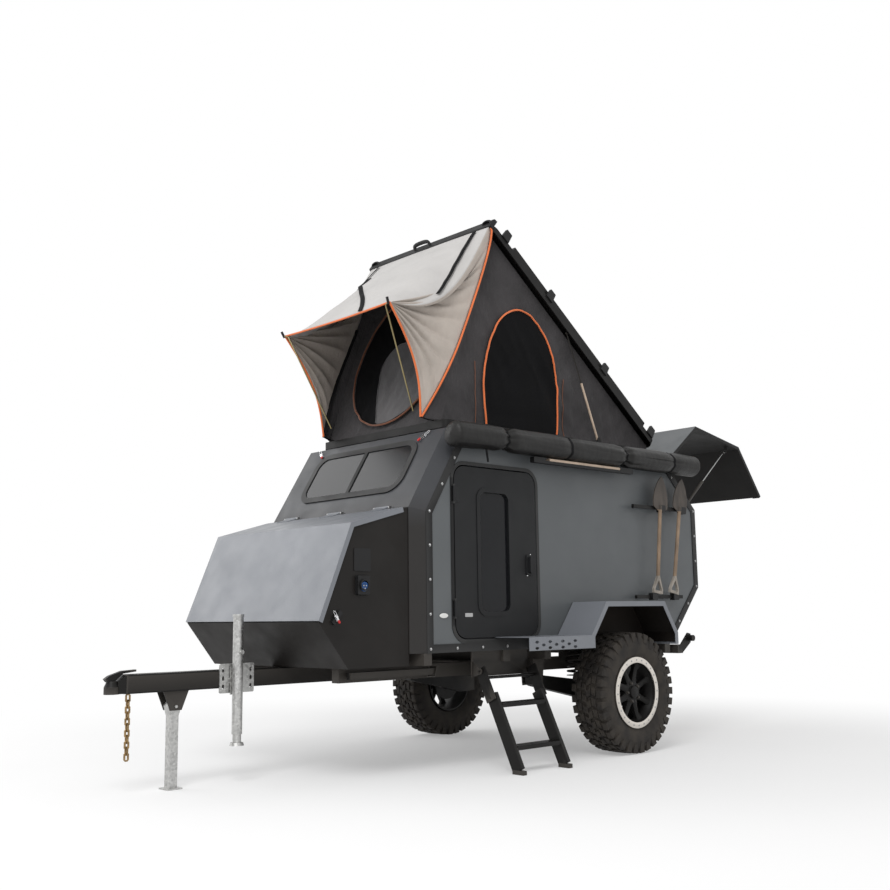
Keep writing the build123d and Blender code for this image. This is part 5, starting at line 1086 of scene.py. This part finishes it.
def wheel(side, name):
    body = "wheel_" + name
    cx, cy, cz = side * 0.863, AXLE, up(0.38)

    def at(x, r, a):
        return Vector((cx + side * x, cy + r * cos(a), cz + r * sin(a)))

    verts, faces = [], []
    m, n = len(TYRE), 96
    for k, angle in enumerate(turns(n)):
        verts += [at(x, r, angle) for x, r in TYRE]
        a, b = k * m, ((k + 1) % n) * m
        faces += [(a + i, a + (i + 1) % m, b + (i + 1) % m, b + i) for i in range(m)]
    parts = [(verts, faces)]

    def block(x0, x1, r0, r1, a0, a1, twist, shrink=0.1):
        """A tread block, twisted, and narrower at its top."""
        v = []
        for r, s in ((r0, 0.0), (r1 - 0.002, 0.0), (r1, shrink)):
            dx, da = (x1 - x0) * s, (a1 - a0) * s
            for x, a, t in ((x0 + dx, a0 + da, -twist), (x1 - dx, a0 + da, twist),
                            (x1 - dx, a1 - da, twist), (x0 + dx, a1 - da, -twist)):
                v.append(at(x, r, a + t))
        f = [(8, 9, 10, 11)]
        for base in (0, 4):
            f += [(base + i, base + (i + 1) % 4, base + 4 + (i + 1) % 4, base + 4 + i) for i in range(4)]
        return v, f

    step = 2 * pi / TREADS
    for k, a in enumerate(turns(TREADS)):
        parts.append(block(-0.03, 0.004, 0.364, 0.3795, a, a + step * 0.62, 0.02))
        parts.append(block(0.0, 0.034, 0.364, 0.3795, a + step * 0.48, a + step * 1.1, -0.02))
        for s, inner, outer in ((1, 0.25, 0.55), (-1, 0.7, 0.05)):
            x0, x1 = sorted((0.04 * s, 0.072 * s))
            start = a + step * inner
            parts.append(block(x0, x1, 0.362, 0.3785, start, start + step * 0.7, 0.012 * s))
            x0, x1 = sorted((0.078 * s, 0.116 * s))
            start = a + step * outer
            parts.append(block(x0, x1, 0.35, 0.376, start, start + step * 0.66, 0.0))
            # Side lugs on the shoulder, every other one longer
            end, low = start + step * 0.62, 0.318 - (k % 2) * 0.012
            sx = 0.1165 * s
            inside, outside, slant = sx - 0.006 * s, sx + 0.0035 * s, step * 0.06
            v = [at(sx, 0.37, start), at(sx, 0.37, end)]
            v += [at(outside, low, end - slant), at(outside, low, start + slant)]
            v += [at(inside, r, t) for r, t in ((0.37, start), (0.37, end), (low, end), (low, start))]
            parts.append((v, [(0, 1, 2, 3), (0, 4, 5, 1), (1, 5, 6, 2), (2, 6, 7, 3), (3, 7, 4, 0)]))
    tyre = add("tyre_detail_" + name, *join_data(parts), RUBBER, body, angle=35)
    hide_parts("tyre_" + name)

    def lathe(points, segments=72):
        v, f = [], []
        q = len(points)
        for k, angle in enumerate(turns(segments)):
            v += [at(x, r, angle) for x, r in points]
            a, b = k * q, ((k + 1) % segments) * q
            f += [(a + i, a + i + 1, b + i + 1, b + i) for i in range(q - 1)]
        return v, f

    spokes = []
    for k in range(SPOKES):
        a = 2 * pi * (k + 0.5) / SPOKES
        v, f = [], []
        for r, wide, x0, x1 in SPOKE:
            for x, half in ((x0, wide), (x1 - 0.006, wide), (x1, wide * 0.55)):
                v += [at(x, hypot(r, half), a + sg * atan2(half, r)) for sg in (1, -1)]
        for b in (0, 6, 12):
            pairs = zip(SPOKE_ORDER, SPOKE_ORDER[1:] + SPOKE_ORDER[:1])
            f += [(b + p, b + q, b + q + 6, b + p + 6) for p, q in pairs]
        spokes.append((v, f))
    rim = add("rim_detail_" + name, *join_data([lathe(BARREL), lathe(HUB)] + spokes), BLACK, body, angle=35)
    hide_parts("rim_" + name)
    add("bead_ring_" + name, *lathe(BEAD_RING), RING, body, angle=35)
    bolts = [(at(0.1165, 0.204, a), (side, 0, 0)) for a in turns(24)]
    screws("bead_ring_bolts_" + name, bolts, 0.0045, 0.003, STEEL, body)
    nuts = [(at(0.0745, 0.058, 2 * pi * (k + 0.5) / 5), (side, 0, 0)) for k in range(5)]
    screws("wheel_nuts_" + name, nuts, 0.009, 0.016, CHASSIS, body)


for side, w in SIDES:
    wheel(side, w)

# Studio

WHITE_FROM, WHITE_TO = 2.6, 5.5
FLOOR_LIFT = 0.3
REACH = 60  # half the floor's side

floor = bpy.data.objects.new("floor", bpy.data.meshes.new("floor"))
corners = [(x * REACH, y * REACH, GROUND) for x, y in ((-1, -1), (1, -1), (1, 1), (-1, 1))]
floor.data.from_pydata(corners, [], [(0, 1, 2, 3)])
bpy.context.scene.collection.objects.link(floor)
fm, fn, fl, fb = new_material("floor_white")
pale = ramp(fn, fl, noise_node(fn, fl, 0.6, 2.0), [(0.3, (0.87, 0.87, 0.87)), (0.7, (0.89, 0.89, 0.89))])
fl.new(pale.outputs["Color"], fb.inputs["Base Color"])
gloss(fb, 0.95, 0.1)


def seen_directly(n, l):
    """1 for rays of the camera, of mirrors and through glass."""
    path = n.new("ShaderNodeLightPath")
    out = path.outputs["Is Camera Ray"]
    for kind in ("Is Glossy Ray", "Is Transmission Ray"):
        m = n.new("ShaderNodeMath")
        m.operation = "MAXIMUM"
        l.new(out, m.inputs[0])
        l.new(path.outputs[kind], m.inputs[1])
        out = m.outputs["Value"]
    return out


# The floor is plain white away from the trailer, and keeps its shadow near it
spot = fn.new("ShaderNodeTexCoord")
near = fn.new("ShaderNodeVectorMath")
near.operation = "DISTANCE"
fl.new(spot.outputs["Object"], near.inputs[0])
put(near, 1, (0, AXLE - 0.6, GROUND))
fade = fn.new("ShaderNodeMapRange")
fade.interpolation_type = "SMOOTHSTEP"
fl.new(near.outputs["Value"], fade.inputs["Value"])
for key, value in {"From Min": WHITE_FROM, "From Max": WHITE_TO, "To Min": FLOOR_LIFT, "To Max": 1.0}.items():
    put(fade, key, value)
share = fn.new("ShaderNodeMath")
share.operation = "MULTIPLY"
fl.new(fade.outputs["Result"], share.inputs[0])
fl.new(seen_directly(fn, fl), share.inputs[1])
glow = fn.new("ShaderNodeEmission")
put(glow, "Strength", 1.0)
blend = fn.new("ShaderNodeMixShader")
fl.new(share.outputs["Value"], blend.inputs["Fac"])
fl.new(fb.outputs["BSDF"], blend.inputs[1])
fl.new(glow.outputs["Emission"], blend.inputs[2])
fl.new(blend.outputs["Shader"], fn["Material Output"].inputs["Surface"])
floor.data.materials.append(fm)

world = bpy.data.worlds.new("studio")
bpy.context.scene.world = world
world.use_nodes = True
wn, wl = world.node_tree.nodes, world.node_tree.links
sky = wn.new("ShaderNodeMix")
sky.data_type = "FLOAT"
wl.new(seen_directly(wn, wl), sky.inputs["Factor"])
put(sky, "A", 0.75)
put(sky, "B", 1.0)
wl.new(sky.outputs["Result"], wn["Background"].inputs["Strength"])
put(wn["Background"], "Color", (1, 1, 1, 1))


def area(name, location, target, size, power):
    light = bpy.data.lights.new(name, "AREA")
    light.energy = power
    light.size = size
    o = bpy.data.objects.new(name, light)
    o.location = location
    o.rotation_euler = (Vector(target) - Vector(location)).to_track_quat("-Z", "Y").to_euler()
    bpy.context.scene.collection.objects.link(o)
    return o


area("key", (4.5, -4.0, 7.5), (0, 2.5, 0.8), 4.0, 420)
area("fill", (-6.5, -1.5, 4.5), (0, 2.5, 0.6), 5.0, 160)

# The photo's camera: place, and focal length in pixels of its width
EYE = (5.3469, -2.6878, 0.3584)
FOCAL, PHOTO_WIDTH = 1098.64, 890

cam = bpy.data.cameras.new("camera")
cam_o = bpy.data.objects.new("camera", cam)
bpy.context.scene.collection.objects.link(cam_o)
bpy.context.scene.camera = cam_o
cam.sensor_width = 36.0
cam.lens = FOCAL / PHOTO_WIDTH * cam.sensor_width
cam.clip_end = 300
yaw, pitch, roll = radians(46.6119), radians(8.7534), radians(-0.7737)
forward = Vector((-sin(yaw) * cos(pitch), cos(yaw) * cos(pitch), sin(pitch)))
right = forward.cross(Vector((0, 0, 1))).normalized()
upward = right.cross(forward)
r2 = right * cos(roll) + upward * sin(roll)
u2 = upward * cos(roll) - right * sin(roll)
rows = [(r2[i], u2[i], -forward[i], EYE[i]) for i in range(3)]
cam_o.matrix_world = Matrix((*rows, (0, 0, 0, 1)))

bpy.context.scene.view_settings.view_transform = "Standard"
